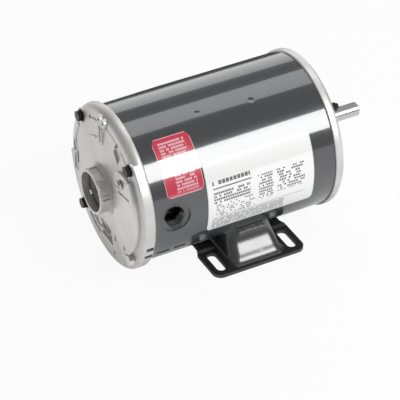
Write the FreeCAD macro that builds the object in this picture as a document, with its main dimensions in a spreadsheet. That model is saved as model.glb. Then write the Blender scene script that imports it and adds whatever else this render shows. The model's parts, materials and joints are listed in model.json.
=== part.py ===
import FreeCAD, Part
import math
import os
import Sketcher

# Electric motor, 48 frame, three phase, drip proof, with a rigid base.
# Row frame in millimetres: +Z up, +Y along the shaft to the drive end, +X to the
# conduit side. The origin is the centre of the four base slots, on the mounting plane.
#
# Pieces that are turned about the shaft are drawn in a frame of their own, whose
# z axis is the shaft axis pointing to the rear, with x = X and y up from the axis.

Vec = FreeCAD.Vector
Turn = FreeCAD.Rotation

doc = FreeCAD.newDocument("ElectricMotor")

# ---------------------------------------------------------------- sizes

SIZES = {
    "axis_height": (76.2, "mounting plane to shaft axis"),
    "slot_span_across": (107.95, "base slots, across the shaft"),
    "slot_span_along": (69.85, "base slots, along the shaft"),
    "slot_width": (8.64, "width of a base slot"),
    "slot_length": (26.0, "end to end length of a base slot"),
    "base_half_across": (73.0, "half of the base, across the shaft"),
    "base_half_along": (44.6, "half of the base, along the shaft"),
    "base_waist": (41.6, "half of the base between the feet, along the shaft"),
    "base_gauge": (3.2, "steel thickness of the base"),
    "foot_inner": (37.0, "where the flat foot ends, from the centre plane"),
    "joggle": (1.5, "rise of the base between the feet"),
    "cradle_across": (61.0, "half of the raised cradle, across the shaft"),
    "cradle_along": (24.0, "half of the raised cradle, along the shaft"),
    "shell_radius": (70.0, "outside of the rolled shell"),
    "shell_wall": (1.6, "steel thickness of the shell"),
    "shell_rear": (101.0, "rear edge of the shell"),
    "shell_front": (73.5, "front edge of the shell"),
    "rim_radius": (73.8, "outside of the rear end bell"),
    "rim_depth": (10.5, "depth of the rear end bell's rim"),
    "front_rim_radius": (71.6, "outside of the drive end bell"),
    "front_rim_depth": (8.7, "depth of the drive end bell's rim"),
    "rim_round": (1.6, "rounding of the rear rim's outer corner"),
    "rim_sweep": (8.0, "rounding of the rear rim's corner along its upper part"),
    "front_rim_round": (4.0, "rounding of the front rim's outer corner"),
    "rim_lip": (2.4, "rounding of the rear rim's corner beside the shell"),
    "front_rim_lip": (1.1, "rounding of the front rim's corner beside the shell"),
    "bell_wall": (3.6, "wall of the cast end bells"),
    "spigot": (5.0, "depth of the spigot inside the shell"),
    "fit_gap": (0.1, "radial gap of the spigot in the shell"),
    "hub_radius": (20.5, "outside of the rear hub's rim"),
    "hub_waist": (18.9, "outside of the rear hub between its ribs"),
    "hub_bore": (16.2, "bore of the rear hub's lip behind the bearing"),
    "hub_mouth": (18.0, "bore of the rear hub's open mouth"),
    "hub_rear": (127.0, "rear face of the rear hub"),
    "dome_radius": (24.0, "where the domed face meets the hub"),
    "dome_rise": (4.0, "rise of the domed face to the hub"),
    "bearing_outer": (17.5, "bearing outside radius"),
    "bearing_inner": (7.5, "bearing bore radius"),
    "bearing_width": (11.0, "bearing width"),
    "ball_radius": (2.98, "bearing ball radius"),
    "ball_pitch": (12.5, "radius of the ball circle"),
    "groove_radius": (3.1, "radius of the ball groove"),
    "ball_count": (8, "balls in a bearing"),
    "rear_bearing": (106.0, "inner face of the rear bearing"),
    "front_bearing": (80.5, "inner face of the front bearing"),
    "bolt_circle": (65.6, "radius of the through bolt circle"),
    "bolt_radius": (2.4, "through bolt shank radius"),
    "bolt_hole": (2.75, "through bolt hole radius"),
    "bolt_head": (8.7, "across the flats of a through bolt head"),
    "head_height": (3.6, "height of a through bolt head"),
    "washer_radius": (5.4, "radius of the washer face under a head"),
    "conduit_place": (81.0, "conduit opening, behind the base centre"),
    "conduit_rise": (2.0, "conduit opening, above the shaft axis"),
    "conduit_bore": (9.3, "radius of the conduit opening"),
    "dish_radius": (14.8, "radius of the dished conduit seat"),
    "dish_depth": (2.6, "depth of the dished conduit seat"),
    "conduit_length": (9.0, "length of the conduit hub's bore"),
    "shaft_radius": (6.35, "shaft extension radius"),
    "shaft_shoulder": (98.425, "shoulder of the shaft, ahead of the base centre"),
    "shaft_length": (38.1, "length of the shaft extension"),
    "flat_depth": (1.19, "depth of the flat on the shaft extension"),
    "core_radius": (68.2, "outside of the stator core"),
    "core_bore": (41.0, "bore of the stator core"),
    "core_rear": (36.0, "rear face of the stator core"),
    "core_front": (26.0, "front face of the stator core"),
    "stator_slots": (24, "slots in the stator core"),
    "slot_bottom": (57.0, "radius of the bottom of a stator slot"),
    "slot_breadth": (6.0, "breadth of a stator slot"),
    "slot_mouth": (2.4, "breadth of a stator slot's mouth"),
    "air_gap": (0.4, "gap between rotor and stator"),
    "rotor_bars": (20, "bars of the rotor cage"),
    "ring_length": (10.0, "length of a rotor end ring"),
    "fan_blades": (8, "fan blades on an end ring"),
    "turn_length": (27.0, "overhang of the end turns"),
}

sheet = doc.addObject("Spreadsheet::Sheet", "Sizes")
for row, (alias, (number, note)) in enumerate(SIZES.items(), start=1):
    sheet.set("A%d" % row, alias)
    sheet.set("B%d" % row, str(number))
    sheet.set("C%d" % row, note)
    sheet.setAlias("B%d" % row, alias)
doc.recompute()


class Size:
    """A number together with the spreadsheet formula that gives it."""

    def __init__(self, value, text):
        self.value = value
        self.text = text

    def _join(self, other, sign, result):
        return Size(result, "(%s %s %s)" % (self.text, sign, other.text))

    def __add__(self, other):
        other = as_size(other)
        return self._join(other, "+", self.value + other.value)

    def __radd__(self, other):
        return as_size(other) + self

    def __sub__(self, other):
        other = as_size(other)
        return self._join(other, "-", self.value - other.value)

    def __rsub__(self, other):
        return as_size(other) - self

    def __mul__(self, other):
        other = as_size(other)
        return self._join(other, "*", self.value * other.value)

    def __rmul__(self, other):
        return as_size(other) * self

    def __truediv__(self, other):
        other = as_size(other)
        return self._join(other, "/", self.value / other.value)

    def __neg__(self):
        return Size(-self.value, "(0 - %s)" % self.text)


def as_size(item):
    """A Size from a Size or a plain number."""
    if isinstance(item, Size):
        return item
    return Size(float(item), "%.6g" % item)


def size(alias):
    """The named cell of the sheet."""
    return Size(float(SIZES[alias][0]), "Sizes." + alias)


def mm(alias):
    """The number in the named cell."""
    return float(SIZES[alias][0])


# ---------------------------------------------------------------- drawing helpers

NODES = []


def keep(item, label):
    """Name a sub-part and put it on the list to be written."""
    item.Label = label
    NODES.append(item)
    return item


def on_axis(item, label):
    """Set a piece that was drawn about its own z axis on the shaft axis."""
    item.Placement = FreeCAD.Placement(Vec(0, 0, mm("axis_height")), Turn(Vec(1, 0, 0), 90))
    item.setExpression(".Placement.Base.z", "Sizes.axis_height")
    return keep(item, label)


def new_body(name):
    return doc.addObject("PartDesign::Body", name)


def plane_of(body, role):
    return next(item for item in body.Origin.OriginFeatures if item.Role == role)


def sketch_on(body, role, name, offset=0):
    """An empty sketch on one of the body's own planes, moved out by offset."""
    sketch = body.newObject("Sketcher::SketchObject", name)
    sketch.AttachmentSupport = [(plane_of(body, role), "")]
    sketch.MapMode = "FlatFace"
    out = as_size(offset)
    if isinstance(offset, Size) or out.value:
        sketch.AttachmentOffset = FreeCAD.Placement(Vec(0, 0, out.value), Turn())
        sketch.setExpression(".AttachmentOffset.Base.z", out.text)
    return sketch


def pin_point(sketch, shape, end, x, y):
    """Hold one point of a sketch at x, y."""
    for kind, axis, place in (("DistanceX", -2, as_size(x)), ("DistanceY", -1, as_size(y))):
        if place.value == 0 and place.text == "0":
            sketch.addConstraint(Sketcher.Constraint("PointOnObject", shape, end, axis))
            continue
        index = sketch.addConstraint(
            Sketcher.Constraint(kind, -1, 1, shape, end, place.value))
        sketch.setExpression("Constraints[%d]" % index, place.text)


def polygon(sketch, points):
    """A closed outline through the points, each held by its two coordinates."""
    first = sketch.GeometryCount
    spots = [(as_size(x), as_size(y)) for x, y in points]
    count = len(spots)
    for index in range(count):
        x1, y1 = spots[index]
        x2, y2 = spots[(index + 1) % count]
        sketch.addGeometry(
            Part.LineSegment(Vec(x1.value, y1.value, 0), Vec(x2.value, y2.value, 0)))
    for index in range(count):
        sketch.addConstraint(Sketcher.Constraint(
            "Coincident", first + index, 2, first + (index + 1) % count, 1))
    for index, (x, y) in enumerate(spots):
        pin_point(sketch, first + index, 1, x, y)


def box_outline(sketch, x1, y1, x2, y2):
    polygon(sketch, [(x1, y1), (x2, y1), (x2, y2), (x1, y2)])


def circle(sketch, x, y, radius):
    """A circle held by its centre and radius."""
    x, y, radius = as_size(x), as_size(y), as_size(radius)
    index = sketch.addGeometry(Part.Circle(Vec(x.value, y.value, 0), Vec(0, 0, 1), radius.value))
    pin_point(sketch, index, 3, x, y)
    held = sketch.addConstraint(Sketcher.Constraint("Radius", index, radius.value))
    sketch.setExpression("Constraints[%d]" % held, radius.text)


def bind(item, field, amount):
    amount = as_size(amount)
    setattr(item, field, amount.value)
    item.setExpression(field, amount.text)


def pad(body, sketch, length, name, flip=False, both=False):
    item = body.newObject("PartDesign::Pad", name)
    item.Profile = sketch
    bind(item, "Length", length)
    item.Reversed = flip
    item.Midplane = both
    return item


def pocket(body, sketch, length, name, flip=False, both=False):
    item = body.newObject("PartDesign::Pocket", name)
    item.Profile = sketch
    bind(item, "Length", length)
    item.Reversed = flip
    item.Midplane = both
    return item


def turn(body, sketch, name, cut=False):
    """Turn a sketch of the XZ plane about the body's z axis."""
    kind = "PartDesign::Groove" if cut else "PartDesign::Revolution"
    item = body.newObject(kind, name)
    item.Profile = sketch
    item.ReferenceAxis = (sketch, ["V_Axis"])
    item.Angle = 360
    return item


def around(body, features, count, name):
    """Repeat features evenly about the body's z axis."""
    item = body.newObject("PartDesign::PolarPattern", name)
    item.Originals = features
    item.Axis = (plane_of(body, "Z_Axis"), [""])
    item.Angle = 360
    count = as_size(count)
    item.Occurrences = int(count.value)
    item.setExpression("Occurrences", count.text)
    body.Tip = item
    return item


def round_edges(body, base, radius, name, wanted):
    """Fillet the edges of a feature that pass the test."""
    doc.recompute()
    edges = ["Edge%d" % (index + 1)
             for index, edge in enumerate(base.Shape.Edges) if wanted(edge)]
    item = body.newObject("PartDesign::Fillet", name)
    item.Base = (base, edges)
    bind(item, "Radius", radius)
    return item


def turned(name, points, label, rounds=()):
    """A piece turned from one closed outline of (radius, place along the axis)."""
    body = new_body(name)
    sketch = sketch_on(body, "XZ_Plane", name + "Outline")
    polygon(sketch, points)
    item = turn(body, sketch, name + "Turned")
    for number, (radius, wanted) in enumerate(rounds):
        item = round_edges(body, item, radius, "%sRound%d" % (name, number), wanted)
    return on_axis(body, label), item


def circle_edge(radius, place):
    """A test for the full circular edge at a radius and a place on the axis."""
    def wanted(edge):
        curve = edge.Curve
        return (isinstance(curve, Part.Circle) and abs(curve.Radius - radius) < 0.01
                and abs(curve.Center.z - place) < 0.01)
    return wanted


def at_angle(radius, degrees):
    angle = math.radians(degrees)
    return radius * math.cos(angle), radius * math.sin(angle)


def rounded_box(sketch, half_x, half_y, radius):
    """A rectangle about the middle of a sketch, with rounded corners."""
    half_x, half_y, radius = as_size(half_x), as_size(half_y), as_size(radius)
    flat_x, flat_y = half_x - radius, half_y - radius
    sides = [
        ((-flat_x, -half_y), (flat_x, -half_y), (flat_x, -flat_y)),
        ((half_x, -flat_y), (half_x, flat_y), (flat_x, flat_y)),
        ((flat_x, half_y), (-flat_x, half_y), (-flat_x, flat_y)),
        ((-half_x, flat_y), (-half_x, -flat_y), (-flat_x, -flat_y)),
    ]
    first = sketch.GeometryCount
    for number, ((x1, y1), (x2, y2), (x, y)) in enumerate(sides):
        start = math.pi / 2 * (number - 1)
        sketch.addGeometry(
            Part.LineSegment(Vec(x1.value, y1.value, 0), Vec(x2.value, y2.value, 0)))
        sketch.addGeometry(Part.ArcOfCircle(
            Part.Circle(Vec(x.value, y.value, 0), Vec(0, 0, 1), radius.value),
            start, start + math.pi / 2))
    count = 2 * len(sides)
    for index in range(count):
        sketch.addConstraint(Sketcher.Constraint(
            "Coincident", first + index, 2, first + (index + 1) % count, 1))
    for number, (begin, end, _) in enumerate(sides):
        pin_point(sketch, first + 2 * number, 1, *begin)
        pin_point(sketch, first + 2 * number, 2, *end)
        held = sketch.addConstraint(Sketcher.Constraint(
            "Radius", first + 2 * number + 1, radius.value))
        sketch.setExpression("Constraints[%d]" % held, radius.text)


def outside_corner(sketch, x, y, radius, clear):
    """The outline outside a rounded corner at x, y, reaching clear of it."""
    x, y, radius = as_size(x), as_size(y), as_size(radius)
    low_x, low_y = x - radius, y - radius
    arc = sketch.addGeometry(Part.ArcOfCircle(
        Part.Circle(Vec(low_x.value, low_y.value, 0), Vec(0, 0, 1), radius.value),
        0, math.pi / 2))
    spots = [(low_x, y), (low_x, y + clear), (x + clear, y + clear), (x + clear, low_y), (x, low_y)]
    for (x1, y1), (x2, y2) in zip(spots, spots[1:]):
        sketch.addGeometry(
            Part.LineSegment(Vec(x1.value, y1.value, 0), Vec(x2.value, y2.value, 0)))
    for index in range(len(spots)):
        following = (index + 1) % len(spots)
        sketch.addConstraint(Sketcher.Constraint(
            "Coincident", arc + index, 2, arc + following, 1))
    pin_point(sketch, arc, 3, low_x, low_y)
    for index, spot in enumerate(spots[:-1]):
        pin_point(sketch, arc + 1 + index, 1, *spot)
    held = sketch.addConstraint(Sketcher.Constraint("DistanceY", -1, 1, arc, 1, low_y.value))
    sketch.setExpression("Constraints[%d]" % held, low_y.text)


def arc_band(sketch, inside, outside, first, last):
    """An outline between two radii, from one angle to another."""
    steps = 6
    angles = [first + (last - first) * step / steps for step in range(steps + 1)]
    polygon(sketch, [at_angle(outside, angle) for angle in angles]
            + [at_angle(inside, angle) for angle in reversed(angles)])


def hexagon(sketch, x, y, flats):
    """A hexagon about a point, with two of its flats upright."""
    corner = as_size(flats) / math.sqrt(3)
    spots = []
    for step in range(6):
        dx, dy = at_angle(1, 60 * step + 30)
        spots.append((x + corner * dx, y + corner * dy))
    polygon(sketch, spots)


def bolt_spots():
    """Centres of the four through bolts, seen from the rear, as sheet sizes."""
    reach = size("bolt_circle") * math.sqrt(0.5)
    return [(reach, reach), (-reach, reach), (-reach, -reach), (reach, -reach)]


# ---------------------------------------------------------------- shell and conduit hub

SHELL_BORE = size("shell_radius") - size("shell_wall")
VENT_HEIGHT = 2.8
VENT_LEVEL = -38.2
VENT_SPANS = ((67.2, 77.9), (82.4, 94.5))
VENT_INSIDE = 45.0
DIMPLES = ((36.3, 70.0), (-13.8, 67.5))
DIMPLE_BALL = 13.0
DIMPLE_DEPTH = 0.4


def make_shell():
    """The rolled and painted steel shell with its conduit hole and lower vents."""
    body = new_body("Shell")
    wall = sketch_on(body, "XZ_Plane", "ShellWall")
    box_outline(wall, SHELL_BORE, -size("shell_front"), size("shell_radius"), size("shell_rear"))
    turn(body, wall, "ShellTurned")
    hole = sketch_on(body, "YZ_Plane", "ConduitHole")
    circle(hole, size("conduit_rise"), size("conduit_place"), size("dish_radius"))
    pocket(body, hole, size("shell_radius") + 5, "ConduitCut", flip=True)
    for side, plane_offset in (("Right", VENT_INSIDE), ("Left", -VENT_INSIDE)):
        vents = sketch_on(body, "YZ_Plane", side + "Vents", plane_offset)
        for low, high in VENT_SPANS:
            box_outline(vents, VENT_LEVEL - VENT_HEIGHT / 2, low,
                        VENT_LEVEL + VENT_HEIGHT / 2, high)
        pocket(body, vents, 30, side + "VentCut", flip=side == "Right")
    for number, (place, angle) in enumerate(DIMPLES):
        out = size("shell_radius") + DIMPLE_BALL - DIMPLE_DEPTH
        x, y = at_angle(1, angle)
        dimple = body.newObject("PartDesign::SubtractiveSphere", "Dimple%d" % number)
        bind(dimple, "Radius", DIMPLE_BALL)
        dimple.AttachmentSupport = [(plane_of(body, "XY_Plane"), "")]
        dimple.MapMode = "FlatFace"
        dimple.AttachmentOffset = FreeCAD.Placement(
            Vec(out.value * x, out.value * y, place), Turn())
        dimple.setExpression(".AttachmentOffset.Base.x", (out * x).text)
        dimple.setExpression(".AttachmentOffset.Base.y", (out * y).text)
    return on_axis(body, "shell")


def make_conduit_hub():
    """The dished steel hub, set in the shell wall, that takes the conduit."""
    body = new_body("ConduitHub")
    reach = size("shell_radius")
    seat = reach - size("dish_depth")
    outline = sketch_on(body, "XZ_Plane", "ConduitHubOutline")
    lip = size("dish_radius") - 0.05
    polygon(outline, [
        (size("conduit_bore"), seat - size("conduit_length")),
        (lip - 1.2, seat - size("conduit_length")),
        (lip, seat - size("conduit_length") + 1.2),
        (lip, reach + 1),
        (lip - 0.9, reach + 1),
        (lip - 1.6, seat + 1.1),
        (size("conduit_bore") + 1.6, seat + 0.2),
        (size("conduit_bore"), seat - 0.6),
    ])
    turn(body, outline, "ConduitHubTurned")
    trim = sketch_on(body, "XZ_Plane", "ShellTrim")
    circle(trim, size("conduit_rise"), 0, reach)
    circle(trim, size("conduit_rise"), 0, reach + 15)
    pocket(body, trim, 60, "ShellTrimCut", both=True)
    body.Placement = FreeCAD.Placement(
        Vec(0, -mm("conduit_place"), mm("axis_height") + mm("conduit_rise")),
        Turn(Vec(0, 1, 0), 90))
    body.setExpression(".Placement.Base.y", "0 - Sizes.conduit_place")
    body.setExpression(".Placement.Base.z", "Sizes.axis_height + Sizes.conduit_rise")
    return keep(body, "conduit_hub")


# ---------------------------------------------------------------- base

FOOT_CORNER = 8.0
CRADLE_CORNER = 9.0
BEND_RUN = 2.5
WEB_ACROSS = 33.0
WAIST_TAPER = 7.0
PUNCH_DEPTH = 12.0

# The cradle's side, from its flared foot to the shell: level over the mounting
# plane, and how far it stands out from the cradle's half sizes there.
CRADLE_SIDE = ((3.2, 8.5, 3.5), (5.0, 5.4, 1.8), (7.0, 3.6, 0.8), (10.0, 1.6, 0.0),
               (18.0, -5.0, -1.6), (22.0, -7.0, -2.6), (33.0, -12.0, -5.5))


def cradle_loft(body, kind, name, shrink):
    """A smooth loft through the cradle's sections, or through the sections inside them."""
    sections = []
    for number, (level, across, along) in enumerate(CRADLE_SIDE):
        section = sketch_on(body, "XY_Plane", "%sSection%d" % (name, number),
                            level - as_size(shrink) * 1.2)
        half_across = size("cradle_across") + across - shrink
        half_along = size("cradle_along") + along - shrink
        rounded_box(section, half_across, half_along, CRADLE_CORNER - as_size(shrink))
        sections.append(section)
    loft = body.newObject(kind, name)
    loft.Profile = sections[0]
    loft.Sections = sections[1:]
    return loft


def make_base():
    """The stamped steel base: two slotted feet and a raised cradle under the shell."""
    body = new_body("Base")
    across, inner = size("base_half_across"), size("foot_inner")
    gauge, rise = size("base_gauge"), size("joggle")
    bend = inner - BEND_RUN
    section = sketch_on(body, "XZ_Plane", "BaseSection")
    polygon(section, [
        (-across, 0), (-inner, 0), (-bend, rise), (bend, rise), (inner, 0), (across, 0),
        (across, gauge), (inner, gauge), (bend, gauge + rise),
        (-bend, gauge + rise), (-inner, gauge), (-across, gauge),
    ])
    plate = pad(body, section, size("base_half_along") * 2, "BasePlate", both=True)

    def outer_corner(edge):
        box = edge.BoundBox
        upright = box.XLength < 0.01 and box.YLength < 0.01
        return upright and abs(box.Center.x) > mm("base_half_across") - 0.01

    round_edges(body, plate, FOOT_CORNER, "FootCorners", outer_corner)

    waist = sketch_on(body, "XY_Plane", "Waist")
    clear = size("base_half_along") + 5
    for side in (1, -1):
        polygon(waist, [
            (-inner, size("base_half_along") * side),
            (-inner + WAIST_TAPER, size("base_waist") * side),
            (inner - WAIST_TAPER, size("base_waist") * side),
            (inner, size("base_half_along") * side),
            (inner, clear * side),
            (-inner, clear * side),
        ])
    pocket(body, waist, PUNCH_DEPTH, "WaistCut", flip=True)

    cradle_loft(body, "PartDesign::AdditiveLoft", "Cradle", 0)
    cradle_loft(body, "PartDesign::SubtractiveLoft", "CradleHollow", gauge)

    web = sketch_on(body, "XY_Plane", "PlateWeb", rise)
    box_outline(web, -WEB_ACROSS, -size("cradle_along"), WEB_ACROSS, size("cradle_along"))
    pad(body, web, gauge, "PlateWebPad")

    straight = (size("slot_length") - size("slot_width")) / 2
    half_width = size("slot_width") / 2
    middle = sketch_on(body, "XY_Plane", "SlotMiddles")
    ends = sketch_on(body, "XY_Plane", "SlotEnds")
    for across_sign in (1, -1):
        for along_sign in (1, -1):
            x = size("slot_span_across") / 2 * across_sign
            y = size("slot_span_along") / 2 * along_sign
            box_outline(middle, x - straight, y - half_width, x + straight, y + half_width)
            circle(ends, x - straight, y, half_width)
            circle(ends, x + straight, y, half_width)
    pocket(body, middle, PUNCH_DEPTH, "SlotMiddleCut", flip=True)
    pocket(body, ends, PUNCH_DEPTH, "SlotEndCut", flip=True)

    seat = sketch_on(body, "XZ_Plane", "ShellSeat")
    circle(seat, 0, size("axis_height"), size("shell_radius"))
    pocket(body, seat, size("base_half_along") * 3, "ShellSeatCut", both=True)
    return keep(body, "base")


# ---------------------------------------------------------------- end bells

FACE = size("shell_rear") + size("rim_depth")
FRONT_FACE = -(size("shell_front") + size("front_rim_depth"))
DOME_EDGE = 62.5
DOME_LIFT = 0.4
LEDGE = 2.8
SPIGOT_OUT = SHELL_BORE - size("fit_gap")
SPIGOT_IN = SPIGOT_OUT - LEDGE
SEAT_RELIEF = 0.5
SPOT_FACE_HEIGHT = 5.0
BOLT_DRILL = 20.0
CAST_CUT = 16.0
ABOVE_DOME = 2.0
RAISED = 1.0

HUB_RIM = 2.2
HUB_STEP = 0.8
HUB_RIB = 1.2
HUB_RIB_INSET = 0.05
LIP_DEPTH = 2.0
HUB_RIB_ANGLES = (14, 3, 62, 118, 176, 208, 242, 298)
HOUSING_LEAD = 3.0
BEARING_ROOM = 0.1
SWEEP_MIDDLE = 115.0
SWEEP_ANGLE = 138.0
BOLT_BOSS = 1.2

BOSS_LOBES = ((-7.2, 66.0), (0.6, 66.0))
BOSS_LOBE = 4.2
BOSS_BLOCK = (-9.0, 59.0, 2.4, 66.0)
BOSS_RISE = 2.0
BOSS_DRILL = 1.5
SPINES = (-6.2, -1.0)
SPINE_HALF = 0.8
SPINE_ENDS = (44.0, 60.0)
SPINE_RISE = 4.0
POCKET_AT = (57.0, 63.0)
POCKET_HALF = (6.6, 5.4)
POCKET_SKEW = 2.4
POCKET_FLOOR = 0.6
KEYHOLE = ((20.4, 53.6), (25.0, 56.4), (22.2, 58.6))
RIM_ARCS = ((51.6, 52.8, -126, -104), (60.6, 61.9, -126, -106), (60.8, 62.0, 146, 176),
            (60.8, 62.0, 100, 124), (46.0, 47.0, 106, 128))
SMALL_SLOTS = ((-18.8, -44.3, 1.0, 2.6), (-27.7, 56.1, 2.6, 1.0), (17.0, -43.5, 1.0, 3.4))
SMALL_HOLES = ((9.5, -64.6, 1.7), (-53.8, 34.1, 1.7), (-40.5, 44.0, 1.4))

WINDOW = (30.0, -26.0, 53.0, 15.0)
LOUVRE_LEVELS = (-41.5, -48.2, -54.9)
LOUVRE_HALF = (9.0, 2.1)
LOUVRE_LIP = 0.9
SIDE_VENTS = ((-61.0, 1.0, 12.0), (-55.0, -8.0, 4.0), (-61.0, -18.0, -5.0))
SIDE_VENT_HALF = 1.3
SIDE_FRAME = 1.2
RIM_VENT_LEVELS = (-22.0, -32.0)
RIM_VENT_HALF = 2.1
RIM_VENT_MARGIN = 1.8
RIM_VENT_START = 50.0
COVER_TAP = 1.9
POST_RADIUS = 3.4
POST_LENGTH = 6.0
POST_TAP = 1.6

FRONT_CROWN = FRONT_FACE - 4
FRONT_HUB_FACE = FRONT_FACE - 11
FRONT_VENT = ((33, -5), (52, -9), (52, 9), (33, 5))
FRONT_VENTS = 8
SPRING_ROOM = 0.6
SHAFT_ROOM = 1.1


def dome(radius):
    """Height of the rear bell's domed face at a radius."""
    slope = (size("dome_rise") - DOME_LIFT) / (DOME_EDGE - size("dome_radius"))
    return FACE + DOME_LIFT + (DOME_EDGE - as_size(radius)) * slope


def bolt_seats(body, name, face, flip):
    """Spot faces and through holes for the four bolts."""
    seats = sketch_on(body, "XY_Plane", name + "Seats", face)
    holes = sketch_on(body, "XY_Plane", name + "Holes", face)
    for x, y in bolt_spots():
        circle(seats, x, y, size("washer_radius") + SEAT_RELIEF)
        circle(holes, x, y, size("bolt_hole"))
    pocket(body, seats, SPOT_FACE_HEIGHT, name + "SeatCut", flip=not flip)
    pocket(body, holes, BOLT_DRILL, name + "HoleCut", flip=flip)


def round_rim(body, base, name, radius, corner, face, shell_edge, lip):
    """Round the two corners of a bell's rim."""
    outer = round_edges(body, base, size(corner), name + "RimRound",
                        circle_edge(mm(radius), face))
    return round_edges(body, outer, size(lip), name + "RimLip",
                       circle_edge(mm(radius), shell_edge))


def raise_details(body):
    """Bosses, ribs and frames that stand on the rear bell's face."""
    wall = size("bell_wall")
    boss = sketch_on(body, "XY_Plane", "TopBoss", FACE - wall)
    box_outline(boss, *BOSS_BLOCK)
    pad(body, boss, wall + BOSS_RISE, "TopBossPad")
    for number, (x, y) in enumerate(BOSS_LOBES):
        lobe = sketch_on(body, "XY_Plane", "BossLobe%d" % number, FACE - wall)
        circle(lobe, x, y, BOSS_LOBE)
        pad(body, lobe, wall + BOSS_RISE, "BossLobePad%d" % number)
    spine = sketch_on(body, "XY_Plane", "TopSpine", FACE - 1)
    for x in SPINES:
        box_outline(spine, x - SPINE_HALF, SPINE_ENDS[0], x + SPINE_HALF, SPINE_ENDS[1])
    pad(body, spine, SPINE_RISE, "TopSpinePad")
    for number, (inside, outside, first, last) in enumerate(RIM_ARCS):
        rib = sketch_on(body, "XY_Plane", "ArcRib%d" % number, FACE - 1)
        arc_band(rib, inside, outside, first, last)
        top = dome((inside + outside) / 2) + RAISED
        pad(body, rib, top - FACE + 1, "ArcRibPad%d" % number)
    frames = sketch_on(body, "XY_Plane", "SideFrames", FACE - 1)
    for x, low, high in SIDE_VENTS:
        half = SIDE_VENT_HALF + SIDE_FRAME
        box_outline(frames, x - half, low - SIDE_FRAME, x + half, high + SIDE_FRAME)
    pad(body, frames, dome(DOME_EDGE) - FACE + 1 + RAISED, "SideFramePad")
    lips = sketch_on(body, "XY_Plane", "LouvreLips", FACE)
    across, half = LOUVRE_HALF
    for level in LOUVRE_LEVELS:
        box_outline(lips, -across, level + half, across, level + half + LOUVRE_LIP)
    pad(body, lips, dome(-LOUVRE_LEVELS[0]) - FACE + RAISED, "LouvreLipPad")


def cut_details(body):
    """Recesses, vents and small holes in the rear bell's face."""
    above = FACE + size("dome_rise") + ABOVE_DOME
    reach, angle = POCKET_AT
    out_x, out_y = at_angle(1, angle)
    half_out, half_over = POCKET_HALF
    corners = []
    for out, over in ((-1, -1), (1, -1), (1, 1), (-1, 1)):
        along = reach + half_out * out + POCKET_SKEW * over
        corners.append((out_x * along - out_y * half_over * over,
                        out_y * along + out_x * half_over * over))
    recess = sketch_on(body, "XY_Plane", "CastRecess", FACE - POCKET_FLOOR)
    polygon(recess, corners)
    pocket(body, recess, CAST_CUT, "CastRecessCut", flip=True)
    small = sketch_on(body, "XY_Plane", "SmallCuts", above)
    polygon(small, KEYHOLE)
    for x, y, half_x, half_y in SMALL_SLOTS:
        box_outline(small, x - half_x, y - half_y, x + half_x, y + half_y)
    for x, y, radius in SMALL_HOLES:
        circle(small, x, y, radius)
    for x, y in BOSS_LOBES:
        circle(small, x, y, BOSS_DRILL)
    pocket(body, small, size("dome_rise") + ABOVE_DOME + 1, "SmallCut")

    window = sketch_on(body, "XY_Plane", "WiringWindow", above)
    box_outline(window, *WINDOW)
    pocket(body, window, CAST_CUT, "WiringWindowCut")
    louvres = sketch_on(body, "XY_Plane", "LowerLouvres", above)
    across, half = LOUVRE_HALF
    for level in LOUVRE_LEVELS:
        box_outline(louvres, -across, level - half, across, level + half)
    pocket(body, louvres, CAST_CUT, "LowerLouvreCut")
    side = sketch_on(body, "XY_Plane", "SideVents", above)
    for x, low, high in SIDE_VENTS:
        box_outline(side, x - SIDE_VENT_HALF, low, x + SIDE_VENT_HALF, high)
    pocket(body, side, CAST_CUT, "SideVentCut")
    rim_vents = sketch_on(body, "YZ_Plane", "RimVents", RIM_VENT_START)
    for level in RIM_VENT_LEVELS:
        box_outline(rim_vents, level - RIM_VENT_HALF, size("shell_rear") + RIM_VENT_MARGIN,
                    level + RIM_VENT_HALF, FACE - RIM_VENT_MARGIN)
    pocket(body, rim_vents, size("rim_radius"), "RimVentCut", flip=True)
    screw = sketch_on(body, "XY_Plane", "CoverScrewHole", above)
    circle(screw, COVER_SCREW[0], COVER_SCREW[1], COVER_TAP)
    pocket(body, screw, BOLT_DRILL, "CoverScrewCut")


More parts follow.
